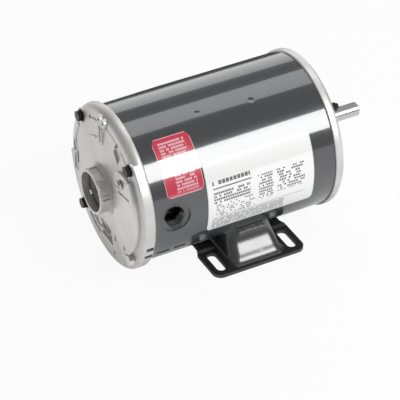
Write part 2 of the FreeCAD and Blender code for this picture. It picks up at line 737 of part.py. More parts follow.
def make_rear_bell():
    """The cast rear end bell: rim, spigot, domed face, bearing hub and wiring window."""
    hub, waist = size("hub_radius"), size("hub_waist")
    seat = size("rear_bearing")
    rear = size("hub_rear")
    edge = size("dome_radius")
    crown = FACE + size("dome_rise")
    wall = size("bell_wall")
    shell_edge = size("shell_rear")
    bore = size("hub_bore")
    stop = seat + size("bearing_width") + BEARING_ROOM
    body = new_body("RearBell")
    outline = sketch_on(body, "XZ_Plane", "RearBellOutline")
    polygon(outline, [
        (size("bearing_outer"), seat - HOUSING_LEAD),
        (size("bearing_outer"), stop),
        (bore, stop),
        (bore, stop + LIP_DEPTH),
        (size("hub_mouth"), stop + LIP_DEPTH),
        (size("hub_mouth"), rear),
        (hub, rear),
        (hub, rear - HUB_RIM),
        (waist, rear - HUB_RIM),
        (waist, crown + HUB_STEP * 3),
        (hub + 0.9, crown + HUB_STEP * 3),
        (hub + 0.9, crown + HUB_STEP * 2),
        (hub + 2.0, crown + HUB_STEP * 2),
        (hub + 2.0, crown + HUB_STEP),
        (edge - 0.4, crown + HUB_STEP),
        (edge - 0.4, crown),
        (edge, crown),
        (DOME_EDGE, FACE + DOME_LIFT),
        (DOME_EDGE, FACE),
        (size("rim_radius"), FACE),
        (size("rim_radius"), shell_edge),
        (SPIGOT_OUT, shell_edge),
        (SPIGOT_OUT, shell_edge - size("spigot")),
        (SPIGOT_IN, shell_edge - size("spigot")),
        (SPIGOT_IN, FACE - wall),
        (DOME_EDGE, FACE - wall),
        (edge, crown - wall),
        (size("bearing_outer") + wall, crown - wall),
        (size("bearing_outer") + wall, seat - HOUSING_LEAD),
    ])
    base = turn(body, outline, "RearBellTurned")
    round_rim(body, base, "Rear", "rim_radius", "rim_round", FACE.value, mm("shell_rear"),
              "rim_lip")
    sweep = sketch_on(body, "XZ_Plane", "RimSweep")
    sweep.AttachmentOffset = FreeCAD.Placement(Vec(), Turn(Vec(0, 1, 0), SWEEP_MIDDLE))
    outside_corner(sweep, size("rim_radius"), FACE, size("rim_sweep"), 2)
    swept = turn(body, sweep, "RimSweepCut", cut=True)
    swept.Midplane = True
    swept.Angle = SWEEP_ANGLE
    bosses = sketch_on(body, "XY_Plane", "BoltBosses", FACE - wall)
    for x, y in bolt_spots():
        circle(bosses, x, y, size("washer_radius") + BOLT_BOSS)
    pad(body, bosses, wall, "BoltBossPad")

    ribs = sketch_on(body, "XY_Plane", "HubRibs", crown)
    for angle in HUB_RIB_ANGLES:
        x, y = at_angle(hub.value - HUB_RIB - HUB_RIB_INSET, angle)
        circle(ribs, x, y, HUB_RIB)
    pad(body, ribs, rear - crown, "HubRibPad")
    raise_details(body)
    bolt_seats(body, "RearBolt", FACE, flip=False)
    cut_details(body)

    posts = sketch_on(body, "XY_Plane", "BoardPosts", BOARD_TOP)
    taps = sketch_on(body, "XY_Plane", "BoardTaps", BOARD_TOP)
    for x, y in BOARD_POSTS:
        circle(posts, x, y, POST_RADIUS)
        circle(taps, x, y, POST_TAP)
    pad(body, posts, POST_LENGTH, "BoardPostPad")
    pocket(body, taps, POST_LENGTH - 1, "BoardTapCut", flip=True)
    return on_axis(body, "rear_end_bell")


def make_front_bell():
    """The cast drive end bell: rim, spigot, vented domed face and bearing hub."""
    hub = size("bearing_outer") + 4
    shoulder = hub + 2.5
    wall = size("bell_wall")
    shell_edge = -size("shell_front")
    near = -size("front_bearing")
    far = near - size("bearing_width") - SPRING_ROOM
    bore = size("bearing_inner") + SHAFT_ROOM
    body = new_body("FrontBell")
    outline = sketch_on(body, "XZ_Plane", "FrontBellOutline")
    polygon(outline, [
        (size("bearing_outer"), near + 1.5),
        (size("bearing_outer"), far),
        (bore, far),
        (bore, FRONT_HUB_FACE),
        (hub, FRONT_HUB_FACE),
        (shoulder, FRONT_CROWN),
        (DOME_EDGE, FRONT_FACE - DOME_LIFT),
        (DOME_EDGE, FRONT_FACE),
        (size("front_rim_radius"), FRONT_FACE),
        (size("front_rim_radius"), shell_edge),
        (SPIGOT_OUT, shell_edge),
        (SPIGOT_OUT, shell_edge + size("spigot")),
        (SPIGOT_IN, shell_edge + size("spigot")),
        (SPIGOT_IN, FRONT_FACE + wall),
        (DOME_EDGE, FRONT_FACE + wall),
        (shoulder, FRONT_CROWN + wall),
        (hub, FRONT_CROWN + wall),
        (hub, near + 1.5),
    ])
    base = turn(body, outline, "FrontBellTurned")
    round_rim(body, base, "Front", "front_rim_radius", "front_rim_round", FRONT_FACE.value,
              shell_edge.value, "front_rim_lip")
    bolt_seats(body, "FrontBolt", FRONT_FACE, flip=True)
    vent = sketch_on(body, "XY_Plane", "FrontVent", FRONT_CROWN - 3)
    polygon(vent, FRONT_VENT)
    cut = pocket(body, vent, CAST_CUT, "FrontVentCut", flip=True)
    around(body, [cut], FRONT_VENTS, "FrontVents")
    return on_axis(body, "front_end_bell")


# ---------------------------------------------------------------- terminal cover and wiring

COVER_LEFT = 24.5
COVER_TOP = 37.0
COVER_LOW = -38.0
COVER_GAUGE = 2.0
COVER_EDGE = 62.6
COVER_CORNER = 9.0
COVER_BEAD = 1.7
COVER_BEAD_WIDTH = 3.4
COVER_SCREW = (35.6, 26.5)
COVER_HOLE = 2.2
COVER_CUT = 30.0
BEYOND = 80.0
BOLT_NOTCH = 10.5
COVER_SLOTS = ((33.0, 17.2, 50.0, 19.0), (36.0, -42.6, 38.0, -38.0))
BOARD_TOP = 104.5
BOARD_GAUGE = 3.0
BOARD_BOX = (38.0, -32.0, 56.0, 23.0)
BOARD_POSTS = ((42.0, 19.0), (42.0, -28.5))
STUD_SPOTS = tuple((x, y) for x in (45.0, 51.5) for y in (-20.0, -5.0, 10.0))
STUD_RADIUS = 1.9
LEAD_RADIUS = 1.5
SPLICE_LEAD = STUD_SPOTS[3]
SPLICE_START = 70.0
SPLICE_LENGTH = 10.0
SPLICE_WALL = 0.8


def make_terminal_cover():
    """The pressed sheet cover over the wiring window, with a rolled outer bead."""
    body = new_body("TerminalCover")
    outline = sketch_on(body, "XZ_Plane", "CoverOutline")
    start = COVER_LEFT - 2
    bead = COVER_EDGE - COVER_BEAD_WIDTH
    polygon(outline, [
        (start, dome(start)),
        (COVER_EDGE, dome(COVER_EDGE)),
        (COVER_EDGE, dome(COVER_EDGE) + COVER_GAUGE * 0.6),
        (COVER_EDGE - 0.5, dome(COVER_EDGE) + COVER_GAUGE + COVER_BEAD * 0.7),
        (COVER_EDGE - 1.6, dome(COVER_EDGE) + COVER_GAUGE + COVER_BEAD),
        (COVER_EDGE - 2.7, dome(COVER_EDGE) + COVER_GAUGE + COVER_BEAD * 0.8),
        (bead, dome(bead) + COVER_GAUGE),
        (start, dome(start) + COVER_GAUGE),
    ])
    turn(body, outline, "CoverTurned")
    above = FACE + size("dome_rise") + 10
    corner_x, corner_y = COVER_LEFT + COVER_CORNER, COVER_TOP - COVER_CORNER
    rounding = [(corner_x + dx, corner_y + dy) for dx, dy in
                (at_angle(COVER_CORNER, angle) for angle in range(180, 89, -15))]
    trims = (
        ("Left", [(-BEYOND, -BEYOND), (COVER_LEFT, -BEYOND), (COVER_LEFT, BEYOND),
                  (-BEYOND, BEYOND)]),
        ("Top", [(COVER_LEFT - 1, corner_y)] + rounding
         + [(BEYOND, COVER_TOP), (BEYOND, BEYOND), (COVER_LEFT - 1, BEYOND)]),
        ("Low", [(COVER_LEFT - 1, COVER_LOW), (COVER_LEFT + 1, COVER_LOW), (33, -56),
                 (33, -BEYOND), (COVER_LEFT - 1, -BEYOND)]),
    )
    for name, points in trims:
        trim = sketch_on(body, "XY_Plane", "Cover" + name, above)
        polygon(trim, points)
        pocket(body, trim, COVER_CUT, "Cover%sCut" % name)
    notches = sketch_on(body, "XY_Plane", "CoverNotches", above)
    spots = bolt_spots()
    circle(notches, spots[0][0], spots[0][1], BOLT_NOTCH)
    circle(notches, spots[3][0], spots[3][1], size("washer_radius") + SEAT_RELIEF)
    circle(notches, COVER_SCREW[0], COVER_SCREW[1], COVER_HOLE)
    for corners in COVER_SLOTS:
        box_outline(notches, *corners)
    pocket(body, notches, COVER_CUT, "CoverNotchCut")
    return on_axis(body, "terminal_cover")


SCREW_FLATS = 6.4
SCREW_WASHER = 4.3
SCREW_WASHER_HEIGHT = 0.8
SCREW_HEAD_HEIGHT = 2.6
SCREW_SHANK = 1.85
SCREW_LENGTH = 9.0
SCREW_SLOT_HALF = 0.55
SCREW_SLOT_DEPTH = 1.1
SCREW_STAND_OFF = 0.5


def make_cover_screw():
    """The plated and slotted hexagon washer head screw that holds the terminal cover."""
    body = new_body("CoverScrew")
    x, y = COVER_SCREW
    level = dome(math.hypot(x, y)) + COVER_GAUGE + SCREW_STAND_OFF
    washer = sketch_on(body, "XY_Plane", "CoverScrewWasher", level)
    circle(washer, x, y, SCREW_WASHER)
    head = sketch_on(body, "XY_Plane", "CoverScrewHead", level)
    hexagon(head, x, y, SCREW_FLATS)
    shank = sketch_on(body, "XY_Plane", "CoverScrewShank", level)
    circle(shank, x, y, SCREW_SHANK)
    pad(body, washer, SCREW_WASHER_HEIGHT, "CoverScrewWasherPad")
    pad(body, head, SCREW_HEAD_HEIGHT, "CoverScrewHeadPad")
    pad(body, shank, SCREW_LENGTH, "CoverScrewShankPad", flip=True)
    slot = sketch_on(body, "XY_Plane", "CoverScrewSlot", level + SCREW_HEAD_HEIGHT - SCREW_SLOT_DEPTH)
    box_outline(slot, x - SCREW_WASHER, y - SCREW_SLOT_HALF, x + SCREW_WASHER, y + SCREW_SLOT_HALF)
    pocket(body, slot, SCREW_SLOT_DEPTH + 1, "CoverScrewSlotCut", flip=True)
    return on_axis(body, "terminal_cover_screw")


def make_terminal_board():
    """The phenolic board behind the wiring window."""
    body = new_body("TerminalBoard")
    plate = sketch_on(body, "XY_Plane", "BoardPlate", BOARD_TOP - BOARD_GAUGE)
    box_outline(plate, *BOARD_BOX)
    slab = pad(body, plate, BOARD_GAUGE, "BoardSlab")
    round_edges(body, slab, 3, "BoardCorners",
                lambda edge: edge.BoundBox.ZLength > BOARD_GAUGE - 0.01)
    holes = sketch_on(body, "XY_Plane", "BoardHoles", BOARD_TOP)
    for x, y in STUD_SPOTS:
        circle(holes, x, y, STUD_RADIUS)
    for x, y in BOARD_POSTS:
        circle(holes, x, y, 1.6)
    pocket(body, holes, BOARD_GAUGE + 1, "BoardHoleCut")
    return on_axis(body, "terminal_board")


def make_group(name, label, build):
    """A group of separate equal solids, each made by build, in one piece of its own."""
    body = new_body(name)
    body.AllowCompound = True
    build(body)
    return on_axis(body, label)


STUD_BELOW = 3.0
STUD_LENGTH = 7.5
STUD_COLLAR = 3.2
STUD_COLLAR_HEIGHT = 2.0
BOARD_HEAD = 2.9
BOARD_SHANK = 1.55
BOARD_HEAD_HEIGHT = 1.8
BOARD_SHANK_BEYOND = 4.5


def make_terminal_studs():
    """Brass studs with a hexagonal collar on the terminal board."""
    def build(body):
        low = sketch_on(body, "XY_Plane", "StudLow", BOARD_TOP - BOARD_GAUGE - STUD_BELOW)
        collar = sketch_on(body, "XY_Plane", "StudCollar", BOARD_TOP)
        for x, y in STUD_SPOTS:
            circle(low, x, y, STUD_RADIUS)
            polygon(collar, [(x + dx, y + dy) for dx, dy in
                             (at_angle(STUD_COLLAR, 60 * step) for step in range(6))])
        pad(body, low, BOARD_GAUGE + STUD_LENGTH, "StudPad")
        pad(body, collar, STUD_COLLAR_HEIGHT, "StudCollarPad")
    return make_group("TerminalStuds", "terminal_studs", build)


def make_board_screws():
    """The two screws that hold the terminal board to its posts."""
    def build(body):
        head = sketch_on(body, "XY_Plane", "BoardScrewHead", BOARD_TOP - BOARD_GAUGE)
        shank = sketch_on(body, "XY_Plane", "BoardScrewShank", BOARD_TOP - BOARD_GAUGE)
        for x, y in BOARD_POSTS:
            circle(head, x, y, BOARD_HEAD)
            circle(shank, x, y, BOARD_SHANK)
        pad(body, head, BOARD_HEAD_HEIGHT, "BoardScrewHeadPad", flip=True)
        pad(body, shank, BOARD_GAUGE + BOARD_SHANK_BEYOND, "BoardScrewShankPad")
    return make_group("BoardScrews", "terminal_board_screws", build)


def make_lead_wires():
    """Insulated leads from the rear end turns up to the terminal studs."""
    def build(body):
        start = size("core_rear") + size("turn_length")
        cut = sketch_on(body, "XY_Plane", "LeadSections", start)
        for x, y in STUD_SPOTS:
            circle(cut, x, y, LEAD_RADIUS)
        pad(body, cut, BOARD_TOP - BOARD_GAUGE - STUD_BELOW - start, "LeadPad")
    return make_group("LeadWires", "lead_wires", build)


def make_lead_splice():
    """The tinned crimp sleeve on the lead behind the conduit opening."""
    body = new_body("LeadSplice")
    sleeve = sketch_on(body, "XY_Plane", "SpliceSleeve", SPLICE_START)
    circle(sleeve, *SPLICE_LEAD, LEAD_RADIUS + SPLICE_WALL)
    circle(sleeve, *SPLICE_LEAD, LEAD_RADIUS)
    pad(body, sleeve, SPLICE_LENGTH, "SplicePad")
    return on_axis(body, "lead_splice")


# ---------------------------------------------------------------- through bolts

NUT_HEIGHT = 3.2
BOLT_END = 2.4
NUT_FLATS = 7.4
WASHER_HEIGHT = 0.9


def add_bolts(body, name, spots):
    washers = sketch_on(body, "XY_Plane", name + "Washers", FACE)
    heads = sketch_on(body, "XY_Plane", name + "Heads", FACE)
    shanks = sketch_on(body, "XY_Plane", name + "Shanks", FACE)
    for x, y in spots:
        circle(washers, x, y, size("washer_radius"))
        hexagon(heads, x, y, size("bolt_head"))
        circle(shanks, x, y, size("bolt_radius"))
    pad(body, shanks, FACE - FRONT_FACE + NUT_HEIGHT + BOLT_END, name + "ShankPad", flip=True)
    pad(body, washers, WASHER_HEIGHT, name + "WasherPad")
    pad(body, heads, size("head_height") + WASHER_HEIGHT, name + "HeadPad")


def make_through_bolts():
    """Three black washer head bolts that clamp the bells to the shell."""
    return make_group("ThroughBolts", "through_bolts",
                      lambda body: add_bolts(body, "Bolt", bolt_spots()[:3]))


def make_cover_bolt():
    """The plated fourth bolt, beside the terminal cover."""
    return make_group("CoverBolt", "cover_side_bolt",
                      lambda body: add_bolts(body, "CoverBolt", bolt_spots()[3:]))


def make_nuts():
    """Hexagon nuts on the drive end of the four through bolts."""
    def build(body):
        nuts = sketch_on(body, "XY_Plane", "NutFlats", FRONT_FACE)
        for x, y in bolt_spots():
            hexagon(nuts, x, y, NUT_FLATS)
            circle(nuts, x, y, size("bolt_radius"))
        pad(body, nuts, NUT_HEIGHT, "NutPad", flip=True)
    return make_group("BoltNuts", "through_bolt_nuts", build)


# ---------------------------------------------------------------- stator

LINER = 0.4
SLOT_LIP = 1.4
SLOT_SHOULDER = 2.6
NOTCH_RADIUS = 4.2
NOTCH_OUTWARD = 1.02
BAR_START = 3.2
WEDGE_LEVELS = (1.6, 2.7, 3.1)
WEDGE_HALVES = (1.2, 2.7)
TURN_INSIDE = 2.8
TURN_OUTSIDE = 3.5
TURN_ROUND = 6.0


def make_stator_core():
    """The laminated stator core with its slots and bolt notches."""
    body = new_body("StatorCore")
    outline = sketch_on(body, "XZ_Plane", "CoreOutline")
    box_outline(outline, size("core_bore"), -size("core_front"),
                size("core_radius"), size("core_rear"))
    turn(body, outline, "CoreTurned")
    slot = sketch_on(body, "XY_Plane", "CoreSlot", -size("core_front") - 1)
    mouth, half = size("slot_mouth") / 2, size("slot_breadth") / 2
    bore = size("core_bore")
    polygon(slot, [(bore - 1, -mouth), (bore + SLOT_LIP, -mouth), (bore + SLOT_SHOULDER, -half),
                   (size("slot_bottom"), -half), (size("slot_bottom"), half),
                   (bore + SLOT_SHOULDER, half), (bore + SLOT_LIP, mouth), (bore - 1, mouth)])
    cut = pocket(body, slot, size("core_front") + size("core_rear") + 2, "CoreSlotCut", flip=True)
    around(body, [cut], size("stator_slots"), "CoreSlots")
    notches = sketch_on(body, "XY_Plane", "BoltNotches", -size("core_front") - 1)
    for x, y in bolt_spots():
        circle(notches, x * NOTCH_OUTWARD, y * NOTCH_OUTWARD, NOTCH_RADIUS)
    pocket(body, notches, size("core_front") + size("core_rear") + 2, "BoltNotchCut", flip=True)
    return on_axis(body, "stator_core")


def make_slot_conductors():
    """The coil sides that fill the stator slots."""
    def build(body):
        bar = sketch_on(body, "XY_Plane", "BarSection", -size("core_front"))
        half = size("slot_breadth") / 2 - LINER
        box_outline(bar, size("core_bore") + BAR_START, -half, size("slot_bottom") - LINER, half)
        one = pad(body, bar, size("core_front") + size("core_rear"), "BarPad")
        around(body, [one], size("stator_slots"), "Bars")
    return make_group("SlotConductors", "slot_conductors", build)


def make_slot_wedges():
    """Insulating wedges that close the mouths of the stator slots."""
    def build(body):
        wedge = sketch_on(body, "XY_Plane", "WedgeSection", -size("core_front"))
        near, flare, far = [size("core_bore") + level for level in WEDGE_LEVELS]
        narrow, wide = WEDGE_HALVES
        polygon(wedge, [(near, -narrow), (flare, -wide), (far, -wide),
                        (far, wide), (flare, wide), (near, narrow)])
        one = pad(body, wedge, size("core_front") + size("core_rear"), "WedgePad")
        around(body, [one], size("stator_slots"), "Wedges")
    return make_group("SlotWedges", "slot_wedges", build)


def make_end_turns(name, label, near, far):
    """The bundled and varnished end turns on one face of the core."""
    inner, outer = size("core_bore") + TURN_INSIDE, size("slot_bottom") + TURN_OUTSIDE
    rounds = [(TURN_ROUND, lambda edge: circle_edge(inner.value, far.value)(edge)
               or circle_edge(outer.value, far.value)(edge))]
    points = [(inner, near), (outer, near), (outer, far), (inner, far)]
    return turned(name, points, label, rounds)[0]


# ---------------------------------------------------------------- bearings

LAND = 2.1
CAGE_HALF = 0.9
CAGE_REACH = 3.9
CAGE_CLEAR = 0.15
SHIELD_GAUGE = 0.5
SHIELD_INSET = 0.4
SHIELD_GAP = 0.5


def bearing_side(name, prefix, place):
    """Rings, balls, cage and shields of one ball bearing, from place towards the rear."""
    width = size("bearing_width")
    inner, outer = size("bearing_inner"), size("bearing_outer")
    pitch, groove = size("ball_pitch"), size("groove_radius")
    middle = place + width / 2
    inner_land, outer_land = pitch - LAND, pitch + LAND

    def ring(part, label, low, high):
        body = new_body(name + part)
        outline = sketch_on(body, "XZ_Plane", name + part + "Outline")
        box_outline(outline, low, place, high, place + width)
        turn(body, outline, name + part + "Turned")
        race = sketch_on(body, "XZ_Plane", name + part + "Race")
        circle(race, pitch, middle, groove)
        turn(body, race, name + part + "RaceCut", cut=True)
        return on_axis(body, label)

    ring("InnerRing", prefix + "_bearing_inner_ring", inner, inner_land)
    ring("OuterRing", prefix + "_bearing_outer_ring", outer_land, outer)

    balls = new_body(name + "Balls")
    balls.AllowCompound = True
    ball = balls.newObject("PartDesign::AdditiveSphere", name + "Ball")
    bind(ball, "Radius", size("ball_radius"))
    ball.AttachmentOffset = FreeCAD.Placement(Vec(pitch.value, 0, middle.value), Turn())
    ball.setExpression(".AttachmentOffset.Base.x", pitch.text)
    ball.setExpression(".AttachmentOffset.Base.z", middle.text)
    ball.AttachmentSupport = [(plane_of(balls, "XY_Plane"), "")]
    ball.MapMode = "FlatFace"
    around(balls, [ball], size("ball_count"), name + "BallRing")
    on_axis(balls, prefix + "_bearing_balls")

    cage = new_body(name + "Cage")
    band = sketch_on(cage, "XZ_Plane", name + "CageBand")
    box_outline(band, pitch - CAGE_HALF, middle - CAGE_REACH, pitch + CAGE_HALF, middle + CAGE_REACH)
    turn(cage, band, name + "CageTurned")
    window = sketch_on(cage, "YZ_Plane", name + "CageWindow")
    circle(window, 0, middle, size("ball_radius") + CAGE_CLEAR)
    cut = pocket(cage, window, pitch + 5, name + "CageWindowCut", flip=True)
    around(cage, [cut], size("ball_count"), name + "CageWindows")
    on_axis(cage, prefix + "_bearing_cage")

    def build(body):
        far = place + width - SHIELD_INSET - SHIELD_GAUGE
        for part, low in (("Near", place + SHIELD_INSET), ("Far", far)):
            shield = sketch_on(body, "XY_Plane", name + part + "Shield", low)
            circle(shield, 0, 0, outer_land)
            circle(shield, 0, 0, inner_land + SHIELD_GAP)
            pad(body, shield, SHIELD_GAUGE, name + part + "ShieldPad")
    make_group(name + "Shields", prefix + "_bearing_shields", build)


CAP_GAP = 0.02
CAP_GAUGE = 0.8
CAP_HOLE = 2.8
CAP_HEIGHT = 2.0


def make_dust_cap():
    """The shallow pressed cap in the rear hub's mouth, open in the middle for the shaft's stub."""
    low = size("rear_bearing") + size("bearing_width") + BEARING_ROOM + LIP_DEPTH
    outer = size("hub_mouth") - CAP_GAP
    inner = outer - CAP_GAUGE
    return turned("DustCap", [
        (CAP_HOLE, low), (outer, low), (outer, low + CAP_HEIGHT), (inner, low + CAP_HEIGHT),
        (inner, low + CAP_GAUGE), (CAP_HOLE, low + CAP_GAUGE),
    ], "rear_dust_cap")[0]


PRELOAD_WIDTH = 2.4
PRELOAD_GAUGE = 0.5
PRELOAD_GAP = 0.2
PRELOAD_STAND_OFF = 0.05


def make_preload_washer():
    """The spring washer between the front bearing and its housing."""
    near = -(size("front_bearing") + size("bearing_width")) - PRELOAD_STAND_OFF
    far = near - PRELOAD_GAUGE
    outer = size("bearing_outer") - PRELOAD_GAP
    inner = outer - PRELOAD_WIDTH
    return turned("PreloadWasher", [
        (inner, far), (outer, far), (outer, near), (inner, near),
    ], "bearing_preload_washer")[0]


# ---------------------------------------------------------------- rotor

STUB_RADIUS = 2.2
STUB_INSET = 0.2
JOURNAL_INSET = 0.3
SHAFT_STEP = 2.0
SHAFT_CHAMFER = 0.8
FLAT_CUT = (8.0, 10.0)
BAR_INSET = 3.6
BAR_RADIUS = 2.2
RING_BORE = 25.0
RING_INSET = 0.8
BLADE_BORE = 27.0
BLADE_INSET = 2.0
BLADE_HALF = 1.4
BLADE_LENGTH = 12.0
BLADE_ROOT = 0.5


def make_shaft():
    """The ground steel shaft, with a flat on its extension and a small rear stub."""
    journal, seat = size("bearing_inner"), size("bearing_inner") + SHAFT_STEP
    rear = size("rear_bearing")
    front = -size("front_bearing")
    shoulder = -size("shaft_shoulder")
    tip = shoulder - size("shaft_length")
    extension = size("shaft_radius")
    step = rear + size("bearing_width") - JOURNAL_INSET
    stub = size("hub_rear") - STUB_INSET
    body = new_body("Shaft")
    outline = sketch_on(body, "XZ_Plane", "ShaftOutline")
    polygon(outline, [
        (0, tip), (extension - SHAFT_CHAMFER, tip), (extension, tip + SHAFT_CHAMFER),
        (extension, shoulder), (journal, shoulder), (journal, front), (seat, front),
        (seat, rear), (journal, rear), (journal, step), (STUB_RADIUS, step),
        (STUB_RADIUS, stub), (0, stub),
    ])
    turn(body, outline, "ShaftTurned")
    flat = sketch_on(body, "XY_Plane", "ShaftFlat", tip - 1)
    half, above = FLAT_CUT
    box_outline(flat, -half, extension - size("flat_depth"), half, above)
    pocket(body, flat, size("shaft_length") + 1, "ShaftFlatCut", flip=True)
    return on_axis(body, "shaft")


def make_rotor_core():
    """The laminated rotor core on the shaft, with a ring of round bar holes."""
    body = new_body("RotorCore")
    outline = sketch_on(body, "XZ_Plane", "RotorOutline")
    radius = size("core_bore") - size("air_gap")
    bore = size("bearing_inner") + SHAFT_STEP
    box_outline(outline, bore, -size("core_front"), radius, size("core_rear"))
    turn(body, outline, "RotorTurned")
    hole = sketch_on(body, "XY_Plane", "BarHole", -size("core_front") - 1)
    circle(hole, radius - BAR_INSET, 0, BAR_RADIUS)
    cut = pocket(body, hole, size("core_front") + size("core_rear") + 2, "BarHoleCut", flip=True)
    around(body, [cut], size("rotor_bars"), "BarHoles")
    return on_axis(body, "rotor_core")


def make_rotor_cage():
    """The cast aluminium cage: bars, two end rings and their fan blades."""
    radius = size("core_bore") - size("air_gap")
    front, rear = -size("core_front"), size("core_rear")
    ring = size("ring_length")
    body = new_body("RotorCage")
    low = sketch_on(body, "XZ_Plane", "FrontRing")
    box_outline(low, RING_BORE, front - ring, radius - RING_INSET, front)
    turn(body, low, "FrontRingTurned")
    bar = sketch_on(body, "XY_Plane", "CageBar", front - 1)
    circle(bar, radius - BAR_INSET, 0, BAR_RADIUS)
    one = pad(body, bar, rear - front + 2, "CageBarPad")
    around(body, [one], size("rotor_bars"), "CageBars")
    high = sketch_on(body, "XZ_Plane", "RearRing")
    box_outline(high, RING_BORE, rear, radius - RING_INSET, rear + ring)
    turn(body, high, "RearRingTurned")
    for side, start, flip in (("Rear", rear + ring - BLADE_ROOT, False),
                              ("Front", front - ring + BLADE_ROOT, True)):
        blade = sketch_on(body, "XY_Plane", side + "Blade", start)
        box_outline(blade, BLADE_BORE, -BLADE_HALF, radius - BLADE_INSET, BLADE_HALF)
        fin = pad(body, blade, BLADE_LENGTH, side + "BladePad", flip=flip)
        around(body, [fin], size("fan_blades"), side + "Blades")
    return on_axis(body, "rotor_cage")


SLINGER_START = 2.9
SLINGER_GAUGE = 1.7
SLINGER_LIP = 5.0
SLINGER_FLARE = 1.0


def make_slinger():
    """The rubber slinger pressed on the shaft outside the drive end hub."""
    low = FRONT_HUB_FACE - SLINGER_START
    high = low + SLINGER_GAUGE
    inner = size("bearing_inner")
    lip = inner + SLINGER_LIP
    return turned("Slinger", [
        (inner, low), (lip, low), (lip + SLINGER_FLARE, high), (inner, high),
    ], "shaft_slinger")[0]


# ---------------------------------------------------------------- labels

# Each label's lowest and highest level beside the shaft, its front and rear ends
# along the shaft, and its thickness.
NAMEPLATE = (-26.2, 40.2, -52.0, 50.5, 0.25)
SIDE_LABEL = (21.0, 60.6, 52.0, 87.0, 0.2)
LABEL_START = 25.0
LABEL_REACH = 60.0
LABEL_CORNER = 4.0


def make_label(name, label, low, high, front, rear, thickness):
    """A thin blank label bent round the shell, with rounded corners."""
    radius = size("shell_radius")
    skin = doc.addObject("Part::Cylinder", name + "Outside")
    core = doc.addObject("Part::Cylinder", name + "Inside")
    bind(skin, "Radius", radius + thickness)
    bind(core, "Radius", radius)
    for item in (skin, core):
        bind(item, "Height", rear - front)
        item.Placement.Base.z = front
    wrap = doc.addObject("Part::Cut", name + "Wrap")
    wrap.Base = skin
    wrap.Tool = core
    block = doc.addObject("Part::Box", name + "Block")
    block.Length = LABEL_REACH
    block.Width = high - low
    block.Height = rear - front
    block.Placement.Base = Vec(LABEL_START, low, front)
    doc.recompute()
    corners = doc.addObject("Part::Fillet", name + "Corners")
    corners.Base = block
    corners.Edges = [(index + 1, LABEL_CORNER, LABEL_CORNER)
                     for index, edge in enumerate(block.Shape.Edges)
                     if edge.BoundBox.XLength > LABEL_REACH - 1]
    patch = doc.addObject("Part::Common", name + "Patch")
    patch.Base = wrap
    patch.Tool = corners
    return on_axis(patch, label)


# ---------------------------------------------------------------- assembly

make_shell()
make_conduit_hub()
make_base()
make_rear_bell()
make_front_bell()
make_terminal_cover()
make_cover_screw()
make_terminal_board()
make_terminal_studs()
make_board_screws()
make_lead_wires()
make_lead_splice()
make_through_bolts()
make_cover_bolt()
make_nuts()
make_stator_core()
make_slot_conductors()
make_slot_wedges()
make_end_turns("RearTurns", "rear_end_turns", size("core_rear"),
               size("core_rear") + size("turn_length"))
make_end_turns("FrontTurns", "front_end_turns", -size("core_front"),
               -(size("core_front") + size("turn_length")))
bearing_side("RearBearing", "rear", size("rear_bearing"))
bearing_side("FrontBearing", "front", -(size("front_bearing") + size("bearing_width")))
make_dust_cap()
make_preload_washer()
make_shaft()
make_rotor_core()
make_rotor_cage()
make_slinger()
make_label("Nameplate", "nameplate", *NAMEPLATE)
make_label("SideLabel", "side_label", *SIDE_LABEL)

doc.recompute()

# ---------------------------------------------------------------- checks and output

for item in doc.Objects:
    faults = {"Invalid", "Error"} & set(item.State)
    if faults:
        raise RuntimeError("%s is %s" % (item.Name, ", ".join(sorted(faults))))
for item in NODES:
    shape = item.Shape
    if shape.isNull() or not shape.isValid() or not shape.Solids:
        raise RuntimeError("%s has no sound solid" % item.Label)

os.makedirs("parts", exist_ok=True)
for item in NODES:
    item.Shape.exportStep("parts/%s.step" % item.Label)
    print("%-32s %3d solids %10.1f mm3" % (item.Label, len(item.Shape.Solids), item.Shape.Volume))
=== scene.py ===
import json
import math

import bmesh
import bpy
from mathutils import Matrix, Vector


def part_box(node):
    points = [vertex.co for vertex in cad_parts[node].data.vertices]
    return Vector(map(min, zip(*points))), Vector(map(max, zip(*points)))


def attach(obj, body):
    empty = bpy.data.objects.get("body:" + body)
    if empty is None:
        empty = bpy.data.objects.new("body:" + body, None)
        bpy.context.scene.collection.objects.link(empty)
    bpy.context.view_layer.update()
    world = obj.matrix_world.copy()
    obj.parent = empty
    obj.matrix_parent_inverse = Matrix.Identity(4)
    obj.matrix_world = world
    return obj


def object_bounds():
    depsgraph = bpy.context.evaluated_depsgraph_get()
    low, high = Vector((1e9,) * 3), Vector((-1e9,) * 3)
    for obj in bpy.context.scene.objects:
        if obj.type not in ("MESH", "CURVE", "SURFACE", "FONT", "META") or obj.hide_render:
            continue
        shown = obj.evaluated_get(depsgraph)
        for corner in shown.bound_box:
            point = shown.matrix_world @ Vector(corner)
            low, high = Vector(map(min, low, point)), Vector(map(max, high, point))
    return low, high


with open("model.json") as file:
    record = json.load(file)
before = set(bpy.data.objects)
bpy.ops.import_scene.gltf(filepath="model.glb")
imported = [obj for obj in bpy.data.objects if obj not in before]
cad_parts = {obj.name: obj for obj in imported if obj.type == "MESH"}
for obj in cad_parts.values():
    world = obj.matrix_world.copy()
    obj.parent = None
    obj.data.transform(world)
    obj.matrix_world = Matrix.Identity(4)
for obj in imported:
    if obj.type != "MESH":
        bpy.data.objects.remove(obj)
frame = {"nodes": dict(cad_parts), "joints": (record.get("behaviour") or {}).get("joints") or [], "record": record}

cad_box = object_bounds()

# ------------------------------------------------------------------ shell
# The shell is a tube rolled from sheet steel and welded, with a conduit hole and lower vents.
# It is sprayed with a glossy slate grey enamel that flows out almost flat, with a faint
# orange peel.

MM = 0.001


